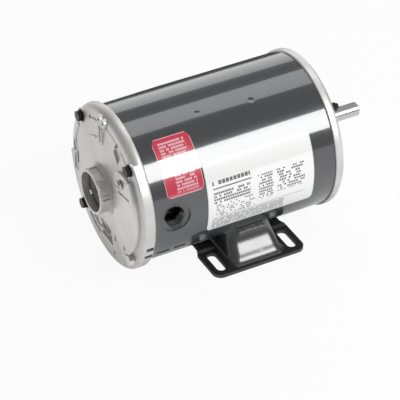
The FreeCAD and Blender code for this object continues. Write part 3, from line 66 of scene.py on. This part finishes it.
def new_finish(name):
    """A node material with its tree and main shader."""
    made = bpy.data.materials.new(name)
    made.use_nodes = True
    return made, made.node_tree, made.node_tree.nodes["Principled BSDF"]


def feed(tree, socket, value):
    """Join an output to a socket, or set the socket to a value."""
    if isinstance(value, bpy.types.NodeSocket):
        tree.links.new(value, socket)
    else:
        socket.default_value = value


def wire(tree, item, **sockets):
    """Feed a node's inputs by name."""
    for key, value in sockets.items():
        feed(tree, item.inputs[key.replace("_", " ")], value)


def add(tree, kind, settings=(), **sockets):
    """A shader node, with its settings and its inputs given by name."""
    item = tree.nodes.new("ShaderNode" + kind)
    for key, value in dict(settings).items():
        setattr(item, key, value)
    wire(tree, item, **sockets)
    return item


def noise(tree, size_mm, detail=3, stretch=(1, 1, 1)):
    """Cloudy noise of a real size on the piece, as a value from 0 to 1."""
    place = add(tree, "TexCoord").outputs["Object"]
    spread = add(tree, "Mapping", Vector=place, Scale=stretch).outputs["Vector"]
    cloud = add(tree, "TexNoise", Vector=spread, Scale=1000 / size_mm, Detail=detail)
    return cloud.outputs["Fac"]


def blend_colours(tree, amount, *stops):
    """Colours along a value: stops are (place, colour)."""
    ramp = add(tree, "ValToRGB", Fac=amount)
    points = ramp.color_ramp.elements
    while len(points) < len(stops):
        points.new(0.5)
    for point, (place, colour) in zip(points, stops):
        point.position = place
        point.color = (*colour, 1)
    return ramp.outputs["Color"]


def span(tree, amount, low, high):
    """A value from 0 to 1 taken to the range low to high."""
    return add(tree, "MapRange", Value=amount, To_Min=low, To_Max=high).outputs["Result"]


def raise_surface(tree, height, depth_mm, strength=1.0):
    """Relief of a real depth from a value."""
    relief = add(tree, "Bump", Height=height, Distance=depth_mm * MM, Strength=strength)
    return relief.outputs["Normal"]


def dress(node, finish):
    """Give a CAD node its finish."""
    mesh = frame["nodes"][node].data
    mesh.materials.clear()
    mesh.materials.append(finish)


def enamel(name, dark, light, peel_mm, rough=(0.16, 0.24), peel_depth=0.016, wet=0.05):
    """A sprayed enamel: a near even colour, orange peel relief and a clear wet gloss."""
    made, tree, shader = new_finish(name)
    cloud = noise(tree, 38, detail=4)
    peel = noise(tree, peel_mm, stretch=(1, 0.6, 1))
    wire(tree, shader,
         Base_Color=blend_colours(tree, cloud, (0.3, dark), (0.7, light)),
         Roughness=span(tree, noise(tree, 14), *rough),
         Specular_IOR_Level=0.5, Coat_Weight=1.0, Coat_Roughness=wet, Coat_IOR=1.7,
         Normal=raise_surface(tree, peel, peel_depth))
    return made


shell_enamel = enamel("shell_enamel", (0.036, 0.040, 0.045), (0.042, 0.046, 0.051), 2.2)
dress("shell", shell_enamel)

# ------------------------------------------------------------------ conduit hub
# The hub is a pressed steel dish that is set in the shell and painted with it, with a tapped bore. Its colour is
# darker than the shell's: painted shade of the dished recess and bore.
# The thread is a real helix of shallow triangular ridges cut in the wall of the bore.

# Darker than the shell's enamel: painted shade in the dish and the bore, on the thread too.
hub_enamel_painted_shade = enamel("hub_enamel_painted_shade", (0.022, 0.024, 0.027), (0.028, 0.030, 0.033), 2.6,
                    (0.24, 0.36))
dress("conduit_hub", hub_enamel_painted_shade)

STATOR = "stator_frame"
ENTRY = next(m for m in frame["record"]["mounts"] if m["name"] == "conduit_entry")
CONDUIT_RIDGE = 0.55 * MM
CONDUIT_PITCH = 1.81 * MM
CONDUIT_TAPPED = 7.6 * MM
CONDUIT_LEAD_IN = 0.3 * MM
STEPS_PER_TURN = 48
THREAD_CREST = 0.4
THREAD_FOOT = 0.8


def make_piece(name, shape, finish, body, smooth=True):
    """Turn a finished bmesh into a piece that rides on a body."""
    bmesh.ops.recalc_face_normals(shape, faces=shape.faces)
    mesh = bpy.data.meshes.new(name)
    shape.to_mesh(mesh)
    shape.free()
    mesh.materials.append(finish)
    mesh.polygons.foreach_set("use_smooth", [smooth] * len(mesh.polygons))
    piece = bpy.data.objects.new(name, mesh)
    bpy.context.scene.collection.objects.link(piece)
    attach(piece, body)


def helix(shape, start, axis, side, radius, height, pitch, length):
    """A triangular thread ridge round an axis: a negative height points inwards."""
    outline = [start + axis * along + side * out for along, out in
               ((0, radius), (THREAD_CREST * pitch, radius + height),
                (THREAD_FOOT * pitch, radius))]
    ridge = shape.faces.new([shape.verts.new(point) for point in outline])
    turns = length / pitch - THREAD_FOOT
    bmesh.ops.spin(shape, geom=[ridge, *ridge.edges, *ridge.verts], cent=start, axis=axis,
                   dvec=axis * (pitch / STEPS_PER_TURN), angle=math.tau * turns,
                   steps=int(STEPS_PER_TURN * turns), use_merge=False)


thread = bmesh.new()
helix(thread, Vector(ENTRY["pos_m"]) - Vector((CONDUIT_LEAD_IN, 0, 0)), Vector((-1, 0, 0)),
      Vector((0, 0, 1)), ENTRY["dims"]["r_mm"] * MM, -CONDUIT_RIDGE, CONDUIT_PITCH,
      CONDUIT_TAPPED)
make_piece("conduit_thread", thread, hub_enamel_painted_shade, STATOR, smooth=False)

# ------------------------------------------------------------------ base
# The base is stamped from 3 mm steel, joined to the shell by weld beads and enamelled black.
# The beads lie in the corner where the raised cradle meets the shell, on both sides. They are coloured a lighter
# grey than the base's black as a painted highlight, so that they glint.

base_enamel = enamel("base_enamel", (0.016, 0.016, 0.017), (0.026, 0.026, 0.027), 1.4,
                     (0.28, 0.42), 0.06, 0.2)
dress("base", base_enamel)

AXIS = Vector(frame["joints"][0]["pos_m"])
BEAD_RADIUS = 2.1 * MM
BEAD_STEP = 1.7 * MM
BEAD_COUNT = 15
BEAD_DROP = 2.8 * MM
BEAD_OUT = 1.7 * MM
BEAD_WANDER, WANDER_PHASE = 0.35 * MM, 2.3
BEAD_SWELL, SWELL_PHASE = 0.18, 1.7
BEAD_TILT = math.radians(-40)
BEAD_DEPTH, BEAD_ALONG, BEAD_HEIGHT = 1.6, 0.9, 0.85
BEAD_SEGMENTS, BEAD_RINGS = 14, 9

base_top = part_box("base")[1].z
shell_low, shell_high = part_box("shell")
shell_radius = (shell_high.x - shell_low.x) / 2
seam_x = math.sqrt(shell_radius ** 2 - (AXIS.z - base_top) ** 2)
beads = bmesh.new()
for side in (1, -1):
    for number in range(BEAD_COUNT):
        along = (number - (BEAD_COUNT - 1) / 2) * BEAD_STEP
        wander = BEAD_WANDER * math.sin(WANDER_PHASE * number)
        swell = 1 + BEAD_SWELL * math.sin(SWELL_PHASE * number + side)
        place = Matrix.Translation((side * (seam_x + BEAD_OUT), along,
                                    base_top - BEAD_DROP + wander))
        tilt = Matrix.Rotation(side * BEAD_TILT, 4, "Y")
        squash = Matrix.Diagonal((BEAD_DEPTH * swell, BEAD_ALONG, BEAD_HEIGHT * swell, 1))
        bmesh.ops.create_uvsphere(beads, u_segments=BEAD_SEGMENTS, v_segments=BEAD_RINGS,
                                  radius=BEAD_RADIUS, matrix=place @ tilt @ squash)
# Lighter grey than the black base enamel: a painted highlight on the beads.
bead_enamel_painted_highlight = enamel("bead_enamel_painted_highlight", (0.10, 0.10, 0.105), (0.20, 0.20, 0.205), 0.9,
                     (0.18, 0.30), 0.04)
make_piece("base_weld_beads", beads, bead_enamel_painted_highlight, STATOR)

# ------------------------------------------------------------------ end bells
# Both end bells are aluminium die castings with a fine grained skin and a thin dull oxide.
# They close the shell at each end and carry the bearings.


def casting(name, dark, light, grain_mm, rough, metal):
    """Die cast aluminium: cloudy tone, fine grain, a thin dull oxide and a satin gloss."""
    made, tree, shader = new_finish(name)
    cloud = noise(tree, 24, detail=5)
    grain = noise(tree, grain_mm, detail=4)
    wire(tree, shader,
         Base_Color=blend_colours(tree, cloud, (0.25, dark), (0.75, light)),
         Metallic=metal, Roughness=span(tree, noise(tree, 6), *rough),
         Normal=raise_surface(tree, grain, 0.05, 0.5))
    return made


cast_aluminium = casting("cast_aluminium", (0.64, 0.63, 0.605), (0.78, 0.77, 0.745), 0.9,
                         (0.42, 0.54), 0.85)
dress("rear_end_bell", cast_aluminium)
dress("front_end_bell", cast_aluminium)

# ------------------------------------------------------------------ terminal cover
# The cover is pressed from thin plated sheet, with a rolled bead round its outer edge.
# A bright pan head screw and the plated through bolt hold it on the rear bell.

cover_sheet = casting("cover_sheet", (0.70, 0.69, 0.67), (0.80, 0.79, 0.77), 1.6,
                      (0.30, 0.40), 0.7)
dress("terminal_cover", cover_sheet)


def plated(name, dark, light, rough):
    """Bright plated or polished steel with faint streaks."""
    made, tree, shader = new_finish(name)
    streak = noise(tree, 3, stretch=(1, 0.2, 1))
    wire(tree, shader,
         Base_Color=blend_colours(tree, streak, (0.3, dark), (0.7, light)),
         Metallic=1.0, Roughness=span(tree, noise(tree, 2, detail=2), *rough),
         Normal=raise_surface(tree, streak, 0.01, 0.3))
    return made


zinc_plate = plated("zinc_plate", (0.66, 0.66, 0.66), (0.82, 0.82, 0.81), (0.12, 0.22))
for node in ("terminal_cover_screw", "cover_side_bolt", "terminal_board_screws", "lead_splice"):
    dress(node, zinc_plate)

# ------------------------------------------------------------------ through bolts
# Hexagon washer head bolts and nuts with a black oxide finish clamp the two bells to the shell.
# The oxide is dark and slightly oily. The rolled thread shows where the bolts leave the nuts.


def oxide(name):
    """Blackened steel: near black, with a faint cloudy sheen of oil."""
    made, tree, shader = new_finish(name)
    wire(tree, shader,
         Base_Color=blend_colours(tree, noise(tree, 3, detail=4), (0.3, (0.012, 0.012, 0.013)),
                                  (0.75, (0.04, 0.038, 0.036))),
         Metallic=0.6, Roughness=span(tree, noise(tree, 1.2), 0.26, 0.42),
         Normal=raise_surface(tree, noise(tree, 0.6), 0.02, 0.4))
    return made


black_oxide = oxide("black_oxide")
dress("through_bolts", black_oxide)
dress("through_bolt_nuts", black_oxide)

BOLT_RADIUS = 2.4 * MM
BOLT_CIRCLE = 65.6 * MM
BOLT_ANGLES = (45, 135, 225, 315)
BOLT_PITCH = 0.8 * MM
BOLT_RIDGE, RIDGE_SUNK = 0.3 * MM, 0.05 * MM
NUT_CORNER = 0.3 * MM

bolt_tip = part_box("through_bolts")[1].y
nut_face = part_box("through_bolt_nuts")[1].y + NUT_CORNER
bolt_threads = bmesh.new()
for degrees in BOLT_ANGLES:
    angle = math.radians(degrees)
    out = Vector((math.cos(angle), 0, math.sin(angle)))
    start = Vector((AXIS.x, nut_face, AXIS.z)) + out * BOLT_CIRCLE
    helix(bolt_threads, start, Vector((0, 1, 0)), out, BOLT_RADIUS - RIDGE_SUNK, BOLT_RIDGE,
          BOLT_PITCH, bolt_tip - nut_face)
make_piece("bolt_threads", bolt_threads, black_oxide, STATOR, smooth=False)

# ------------------------------------------------------------------ labels
# Both labels are glossy film stuck round the shell: a pale nameplate and a red side label.
# They are printed as blank forms, with rows of plain bars, thin rules and a narrow border.

SHELL_RADIUS_MM = 70.2
BAR_STRETCH = 2.0


def calculate(tree, operation, *values):
    """One arithmetic node, from sockets or numbers."""
    item = add(tree, "Math", {"operation": operation})
    for socket, value in zip(item.inputs, values):
        feed(tree, socket, value)
    return item.outputs["Value"]


def within(tree, value, low, high):
    """One between two limits and zero outside them."""
    return calculate(tree, "COMPARE", value, (low + high) / 2, (high - low) / 2)


def place_parts(tree):
    """The X, Y and Z of the place on the piece, in metres."""
    return add(tree, "SeparateXYZ", Vector=add(tree, "TexCoord").outputs["Object"]).outputs


def sheet_place(tree):
    """Millimetres along the shaft, and round the shell from the level of the axis."""
    parts = place_parts(tree)
    along = calculate(tree, "MULTIPLY", parts["Y"], 1000)
    rise = calculate(tree, "SUBTRACT", parts["Z"], AXIS.z)
    angle = calculate(tree, "ARCTAN2", rise, parts["X"])
    return along, calculate(tree, "MULTIPLY", angle, SHELL_RADIUS_MM)


def printed_bars(tree, along, across, box, row, bar, gap, filled, offset):
    """Ink of rows of plain bars inside a box of the sheet: 1 where there is ink."""
    flat = add(tree, "CombineXYZ", X=calculate(tree, "MULTIPLY", along, BAR_STRETCH),
               Y=across).outputs["Vector"]
    bricks = add(tree, "TexBrick", {"offset": offset, "squash": 1.0}, Vector=flat,
                 Color1=(0, 0, 0, 1), Color2=(1, 1, 1, 1), Mortar=(1, 1, 1, 1), Scale=1.0,
                 Mortar_Size=gap, Mortar_Smooth=0.2, Brick_Width=bar * BAR_STRETCH,
                 Row_Height=row)
    ink = calculate(tree, "LESS_THAN", bricks.outputs["Color"], filled)
    return calculate(tree, "MULTIPLY", ink, printed_rule(tree, along, across, box))


def printed_rule(tree, along, across, box):
    """Ink of a solid bar."""
    return calculate(tree, "MULTIPLY", within(tree, along, *box[:2]),
                     within(tree, across, *box[2:]))


def label_film(name, film, ink, edge, sheet, blocks, rules, rough):
    """Glossy film with a border, printed blocks of bars and solid rules."""
    made, tree, shader = new_finish(name)
    along, across = sheet_place(tree)
    inked = 0.0
    for block in blocks:
        inked = calculate(tree, "MAXIMUM", inked, printed_bars(tree, along, across, *block))
    for rule in rules:
        inked = calculate(tree, "MAXIMUM", inked, printed_rule(tree, along, across, rule))
    printed = blend_colours(tree, inked, (0.0, film), (1.0, ink))
    middle = printed_rule(tree, along, across, sheet)
    face = add(tree, "Mix", {"data_type": "RGBA"}, Factor=middle)
    for key, colour in (("A", (*edge, 1)), ("B", printed)):
        feed(tree, next(i for i in face.inputs if i.name == key and i.type == "RGBA"), colour)
    shaded = next(o for o in face.outputs if o.type == "RGBA")
    wire(tree, shader,
         Base_Color=shaded, Roughness=span(tree, noise(tree, 9), *rough),
         Specular_IOR_Level=0.5, Coat_Weight=1.0, Coat_Roughness=0.04, Coat_IOR=2.1,
         Normal=raise_surface(tree, noise(tree, 5, detail=2), 0.006))
    return made


# A box is its low and high place along, then its low and high place across, in millimetres.
# A block is its box, row height, bar length, gap, share of ink and each row's offset.
NAMEPLATE_SHEET = (-49.6, 51.1, -26.2, 42.2)
NAMEPLATE_BLOCKS = (
    ((-45.0, -9.0, 20.0, 25.0), 5.0, 3.6, 0.8, 0.85, 0.0),
    ((-45.0, -10.0, 3.2, 15.0), 2.9, 2.1, 0.5, 0.8, 0.37),
    ((-2.0, 12.0, -6.5, 18.0), 2.7, 1.9, 0.5, 0.7, 0.37),
    ((16.0, 43.0, -4.0, 18.0), 2.7, 2.3, 0.5, 0.6, 0.37),
    ((-43.0, -6.0, -11.5, 2.0), 2.3, 1.7, 0.5, 0.45, 0.5),
    ((-46.0, 24.0, -24.8, -13.5), 1.5, 1.5, 0.36, 0.85, 0.37),
)
NAMEPLATE_RULES = ((-45.0, -8.0, 17.0, 18.2), (-45.0, 44.0, -12.6, -12.2))
dress("nameplate", label_film(
    "nameplate_film", (0.95, 0.95, 0.945), (0.05, 0.05, 0.055), (0.88, 0.88, 0.875),
    NAMEPLATE_SHEET, NAMEPLATE_BLOCKS, NAMEPLATE_RULES, (0.28, 0.4)))
SIDE_SHEET = (-86.4, -52.6, 22.0, 72.6)
SIDE_BLOCKS = (
    ((-82.0, -58.0, 50.0, 69.5), 2.9, 1.5, 0.55, 0.8, 0.0),
    ((-77.0, -57.0, 24.5, 41.0), 2.9, 1.5, 0.55, 0.8, 0.0),
)
dress("side_label", label_film(
    "side_label_film", (0.60, 0.012, 0.055), (0.88, 0.62, 0.65), (0.85, 0.40, 0.44),
    SIDE_SHEET, SIDE_BLOCKS, (), (0.2, 0.3)))

# ------------------------------------------------------------------ shaft
# The shaft is ground steel, bright, with fine marks round it and a milled flat on the extension.
# It turns on two ball bearings with the rotor that is pressed on it.

TURNED_END = -116.0 * MM
TURNED_ROUGHNESS = 0.3


def ground_steel(name, dark, light):
    """Bright steel with fine marks round it, and a duller turned rear end."""
    made, tree, shader = new_finish(name)
    marks = noise(tree, 0.5, detail=2, stretch=(0.05, 1, 0.05))
    turned = calculate(tree, "LESS_THAN", place_parts(tree)["Y"], TURNED_END)
    rough = calculate(tree, "MULTIPLY_ADD", turned, TURNED_ROUGHNESS,
                      span(tree, marks, 0.16, 0.22))
    wire(tree, shader,
         Base_Color=blend_colours(tree, marks, (0.2, dark), (0.8, light)),
         Metallic=1.0, Roughness=rough, Normal=raise_surface(tree, marks, 0.001, 0.4))
    return made


shaft_steel = ground_steel("shaft_steel", (0.50, 0.50, 0.51), (0.60, 0.60, 0.60))
dress("shaft", shaft_steel)

# ------------------------------------------------------------------ bearings
# Two shielded ball bearings carry the shaft: their rings and balls are hardened and polished.
# The cages and shields, and the washer at the front bearing, are pressed from sheet steel.

bearing_steel = plated("bearing_steel", (0.62, 0.62, 0.64), (0.74, 0.74, 0.75), (0.08, 0.16))
pressed_steel = plated("pressed_steel", (0.42, 0.43, 0.45), (0.56, 0.57, 0.58), (0.26, 0.4))
for end in ("rear", "front"):
    for part in ("inner_ring", "outer_ring", "balls"):
        dress("%s_bearing_%s" % (end, part), bearing_steel)
    for part in ("cage", "shields"):
        dress("%s_bearing_%s" % (end, part), pressed_steel)
dress("bearing_preload_washer", pressed_steel)

# ------------------------------------------------------------------ cap and slinger
# The rear cap is a dark moulded cup, pressed into the hub of the rear bell.
# The slinger is a black rubber ring, pressed on the shaft outside the front bell.


def moulded(name, dark, light, rough, grain_mm):
    """A dull plain material: plastic, rubber, fibre or cloth, with a fine grain."""
    made, tree, shader = new_finish(name)
    wire(tree, shader,
         Base_Color=blend_colours(tree, noise(tree, 8, detail=4), (0.3, dark), (0.7, light)),
         Roughness=span(tree, noise(tree, 2), *rough),
         Normal=raise_surface(tree, noise(tree, grain_mm), 0.02, 0.5))
    return made


dress("rear_dust_cap", moulded("cap_plastic", (0.16, 0.16, 0.16), (0.22, 0.22, 0.22),
                               (0.4, 0.55), 0.6))
dress("shaft_slinger", moulded("slinger_rubber", (0.014, 0.014, 0.014), (0.024, 0.024, 0.024),
                               (0.55, 0.75), 0.4))

# ------------------------------------------------------------------ stator and rotor
# Both cores are stacks of thin electrical steel laminations; the rotor cage is cast aluminium.
# The coils are copper wire dipped in varnish, held in the slots by pale fibre wedges.
# Strands cross the faces of the end turns, and cotton lacing is tied round them.


def laminated(name):
    """Stacked sheets of dark electrical steel, their edges seen as fine lines."""
    made, tree, shader = new_finish(name)
    layers = noise(tree, 0.5, detail=1, stretch=(0.02, 1, 0.02))
    wire(tree, shader,
         Base_Color=blend_colours(tree, layers, (0.35, (0.05, 0.05, 0.055)),
                                  (0.65, (0.16, 0.16, 0.17))),
         Metallic=0.7, Roughness=0.5,
         Normal=raise_surface(tree, layers, 0.05, 0.6))
    return made


core_steel = laminated("core_laminations")
dress("stator_core", core_steel)
dress("rotor_core", core_steel)
dress("rotor_cage", cast_aluminium)


def winding(name):
    """Varnished copper wire, with the strands as fine relief round the turns."""
    made, tree, shader = new_finish(name)
    strands = noise(tree, 1.4, detail=2, stretch=(1, 0.25, 1))
    wire(tree, shader,
         Base_Color=blend_colours(tree, strands, (0.3, (0.16, 0.045, 0.012)),
                                  (0.7, (0.42, 0.15, 0.05))),
         Roughness=span(tree, strands, 0.22, 0.4), Coat_Weight=0.8, Coat_Roughness=0.15,
         Normal=raise_surface(tree, strands, 0.5, 0.8))
    return made


copper_winding = winding("varnished_winding")
for node in ("rear_end_turns", "front_end_turns", "slot_conductors"):
    dress(node, copper_winding)

COIL_WIDTH = 16.7 * MM
COIL_CORNER = 6.0 * MM
STRAND_RADIUS = 0.8 * MM
STRAND_COUNT = 40
STRAND_STEPS = 14
STRAND_MARGIN = 5.4 * MM
STRAND_SHIFT = 0.25
STRAND_LEAN = 40
STRAND_LIFT = 0.35 * MM
CROSSING_LIFT = 0.5 * MM
CORD_RADIUS = 0.6 * MM
CORD_GAP = 0.3 * MM
CORD_COUNT = 18
CORD_FOOT = 3 * MM
BEND_POINTS, BEND_STEP = 6, 18


def cords_along(name, lines, radius, closed=False):
    """Round cords along lines of points, as one bmesh."""
    route = bpy.data.curves.new(name + "_route", "CURVE")
    route.dimensions = "3D"
    route.bevel_depth = radius
    route.bevel_resolution = 1
    route.use_fill_caps = not closed
    for line in lines:
        run = route.splines.new("POLY")
        run.points.add(len(line) - 1)
        run.points.foreach_set("co", [number for point in line for number in (*point, 1)])
        run.use_cyclic_u = closed
    bare = bpy.data.objects.new(name + "_route", route)
    made = bpy.data.meshes.new_from_object(bare)
    shape = bmesh.new()
    shape.from_mesh(made)
    bpy.data.objects.remove(bare)
    bpy.data.meshes.remove(made)
    return shape


def round_axis(radius, degrees, along):
    """A point at a radius and angle round the shaft."""
    angle = math.radians(degrees)
    return Vector((AXIS.x + radius * math.cos(angle), along, AXIS.z + radius * math.sin(angle)))


cord_cotton = moulded("lacing_cord", (0.50, 0.44, 0.32), (0.62, 0.55, 0.42), (0.6, 0.8), 0.5)
for end, outward in (("rear", -1), ("front", 1)):
    low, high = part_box(end + "_end_turns")
    outer = (high.x - low.x) / 2
    inner = outer - COIL_WIDTH
    face = high.y if outward > 0 else low.y
    root = low.y if outward > 0 else high.y
    strands = []
    for lean in (1, -1):
        for number in range(STRAND_COUNT):
            start = 360 / STRAND_COUNT * (number + STRAND_SHIFT * lean)
            line = []
            for step in range(STRAND_STEPS + 1):
                share = step / STRAND_STEPS
                radius = inner + STRAND_MARGIN + (COIL_WIDTH - 2 * STRAND_MARGIN) * share
                lift = STRAND_LIFT + CROSSING_LIFT * math.sin(math.pi * share) * (lean > 0)
                line.append(round_axis(radius, start + lean * STRAND_LEAN * share,
                                       face + outward * lift))
            strands.append(line)
    make_piece(end + "_coil_strands", cords_along(end + "_coil_strands", strands, STRAND_RADIUS),
               copper_winding, STATOR)
    lacing = []
    reach = COIL_CORNER + CORD_GAP + STRAND_RADIUS
    foot = root + outward * CORD_FOOT
    for number in range(CORD_COUNT):
        degrees = 360 / CORD_COUNT * (number + 0.5)
        loop = []
        for corner_radius, first in ((outer - COIL_CORNER, 0), (inner + COIL_CORNER, 90)):
            for step in range(BEND_POINTS):
                turn = math.radians(first + BEND_STEP * step)
                radius = corner_radius + reach * math.cos(turn)
                depth = face - outward * (COIL_CORNER - reach * math.sin(turn))
                loop.append(round_axis(radius, degrees, depth))
        loop.append(round_axis(inner - CORD_GAP, degrees, foot))
        loop.append(round_axis(outer + CORD_GAP, degrees, foot))
        lacing.append(loop)
    make_piece(end + "_winding_lacing",
               cords_along(end + "_winding_lacing", lacing, CORD_RADIUS, closed=True),
               cord_cotton, STATOR)
dress("slot_wedges", moulded("wedge_fibre", (0.44, 0.34, 0.18), (0.56, 0.45, 0.26),
                             (0.6, 0.8), 0.5))

# ------------------------------------------------------------------ terminal board
# The board is dark phenolic sheet, screwed to two posts behind the cover.
# Brass studs stand on it, and insulated black leads join it to the rear end turns.

dress("terminal_board", moulded("board_phenolic", (0.02, 0.014, 0.01), (0.04, 0.028, 0.02),
                                (0.35, 0.5), 0.8))
dress("terminal_studs", plated("stud_brass", (0.55, 0.38, 0.14), (0.68, 0.50, 0.22),
                               (0.2, 0.34)))
dress("lead_wires", moulded("lead_insulation", (0.012, 0.012, 0.013), (0.02, 0.02, 0.022),
                            (0.4, 0.5), 1.0))

# ------------------------------------------------------------------ studio
# A white floor and world, lit by one bright strip softbox and two wide dim ones.
# A low black flag, seen only in gloss, darkens the far side of the shell.
# Close to the motor the floor keeps its own shade in gloss, so it doesn't shine in the slots.

FLOOR_SIZE = 30.0
FLOOR_DROP = 0.0002
SHADE_NEAR = 0.09
SHADE_FAR = 0.16
FLAG_PLACE = (-1.25, 0.75, 0.004)
FLAG_SIZE = (2.2, 1.4)
SKY_LEVEL = 0.30


def studio_white(name, shade, pure):
    """White where it is seen directly or in gloss, and its own shade in gloss near the motor."""
    made, tree, shader = new_finish(name)
    wire(tree, shader, Base_Color=(*[shade] * 3, 1), Roughness=0.9, Specular_IOR_Level=0.1)
    ray = add(tree, "LightPath").outputs
    reach = add(tree, "VectorMath", {"operation": "LENGTH"},
                Vector=add(tree, "TexCoord").outputs["Object"])
    clear = add(tree, "MapRange", Value=reach.outputs["Value"],
                From_Min=SHADE_NEAR, From_Max=SHADE_FAR)
    gloss = calculate(tree, "MULTIPLY", ray["Is Glossy Ray"], clear.outputs["Result"])
    seen = calculate(tree, "MAXIMUM", ray["Is Camera Ray"], gloss)
    through = calculate(tree, "MAXIMUM", seen, ray["Is Transmission Ray"])
    glow = add(tree, "Emission", Color=(1, 1, 1, 1), Strength=1.0)
    mix = add(tree, "MixShader", Fac=calculate(tree, "MULTIPLY", through, pure))
    tree.links.new(shader.outputs[0], mix.inputs[1])
    tree.links.new(glow.outputs[0], mix.inputs[2])
    tree.links.new(mix.outputs[0], tree.nodes["Material Output"].inputs["Surface"])
    return made


def flat_card(name, place, size, finish):
    """A level card of a size in metres, centred on a place."""
    card = bmesh.new()
    bmesh.ops.create_grid(card, x_segments=1, y_segments=1, size=0.5,
                          matrix=Matrix.Translation(place) @ Matrix.Diagonal((*size, 1, 1)))
    mesh = bpy.data.meshes.new(name)
    card.to_mesh(mesh)
    card.free()
    mesh.materials.append(finish)
    item = bpy.data.objects.new(name, mesh)
    bpy.context.scene.collection.objects.link(item)
    return item


floor = flat_card("studio_floor", (0, 0, cad_box[0].z - FLOOR_DROP), (FLOOR_SIZE, FLOOR_SIZE),
                  studio_white("studio_floor", 0.8, 0.92))

flag = flat_card("studio_flag", FLAG_PLACE, FLAG_SIZE,
                 moulded("flag_cloth", (0.02, 0.02, 0.02), (0.03, 0.03, 0.03), (0.8, 0.9), 2.0))
flag.visible_camera = False
flag.visible_diffuse = False
flag.visible_shadow = False

world = bpy.data.worlds.new("studio")
bpy.context.scene.world = world
world.use_nodes = True
sky = world.node_tree.nodes["Background"]
sky.inputs["Color"].default_value = (1, 1, 1, 1)
ray = add(world.node_tree, "LightPath")
wire(world.node_tree, sky,
     Strength=span(world.node_tree, ray.outputs["Is Camera Ray"], SKY_LEVEL, 1.0))

# The lamps lean toward the drive end as far as the camera leans toward the rear.
SHAFT_SHARE = 0.3678
LAMP_REACH = 1.7


def softbox(name, angle, width, length, radiance):
    """A rectangular lamp facing the motor, at an angle round the shaft from +X upwards."""
    turn = math.radians(angle)
    side = math.sqrt(1 - SHAFT_SHARE ** 2)
    out = Vector((side * math.cos(turn), SHAFT_SHARE, side * math.sin(turn)))
    along = (Vector((0, 1, 0)) - out * out.y).normalized()
    lamp = bpy.data.lights.new(name, "AREA")
    lamp.shape = "RECTANGLE"
    lamp.size = length
    lamp.size_y = width
    lamp.energy = radiance * math.pi * width * length
    item = bpy.data.objects.new(name, lamp)
    axes = Matrix((along, out.cross(along), out)).transposed().to_4x4()
    item.matrix_world = Matrix.Translation(AXIS + out * LAMP_REACH) @ axes
    bpy.context.scene.collection.objects.link(item)


softbox("strip_softbox", angle=38.5, width=0.74, length=0.9, radiance=8.8)
softbox("top_softbox", angle=108, width=0.78, length=2.2, radiance=1.6)
softbox("left_softbox", angle=162, width=0.90, length=2.2, radiance=1.05)

# ------------------------------------------------------------------ camera
# The camera looks down on the rear end and the conduit side from a little under two metres.
# It has a long lens, and colours are shown in the Standard view.

CAMERA_AZIMUTH = math.radians(62.70)
CAMERA_ELEVATION = math.radians(36.69)
CAMERA_ROLL = math.radians(-0.73)
CAMERA_DISTANCE = 1.893
CAMERA_TARGET = Vector((0, -0.02233, 0.03045))
CAMERA_SENSOR = 36
CAMERA_LENS = 193.27
CAMERA_CLIP = 100

back = Vector((math.sin(CAMERA_AZIMUTH) * math.cos(CAMERA_ELEVATION),
               -math.cos(CAMERA_AZIMUTH) * math.cos(CAMERA_ELEVATION),
               math.sin(CAMERA_ELEVATION)))
right = Vector((math.cos(CAMERA_AZIMUTH), math.sin(CAMERA_AZIMUTH), 0))
upward = back.cross(right)
rolled_right = right * math.cos(CAMERA_ROLL) + upward * math.sin(CAMERA_ROLL)
rolled_up = upward * math.cos(CAMERA_ROLL) - right * math.sin(CAMERA_ROLL)
camera = bpy.data.objects.new("camera", bpy.data.cameras.new("camera"))
camera.data.sensor_width = CAMERA_SENSOR
camera.data.lens = CAMERA_LENS
camera.data.clip_end = CAMERA_CLIP
axes = Matrix((rolled_right, rolled_up, back)).transposed().to_4x4()
camera.matrix_world = Matrix.Translation(CAMERA_TARGET + back * CAMERA_DISTANCE) @ axes
bpy.context.scene.collection.objects.link(camera)
bpy.context.scene.camera = camera
bpy.context.scene.view_settings.view_transform = "Standard"
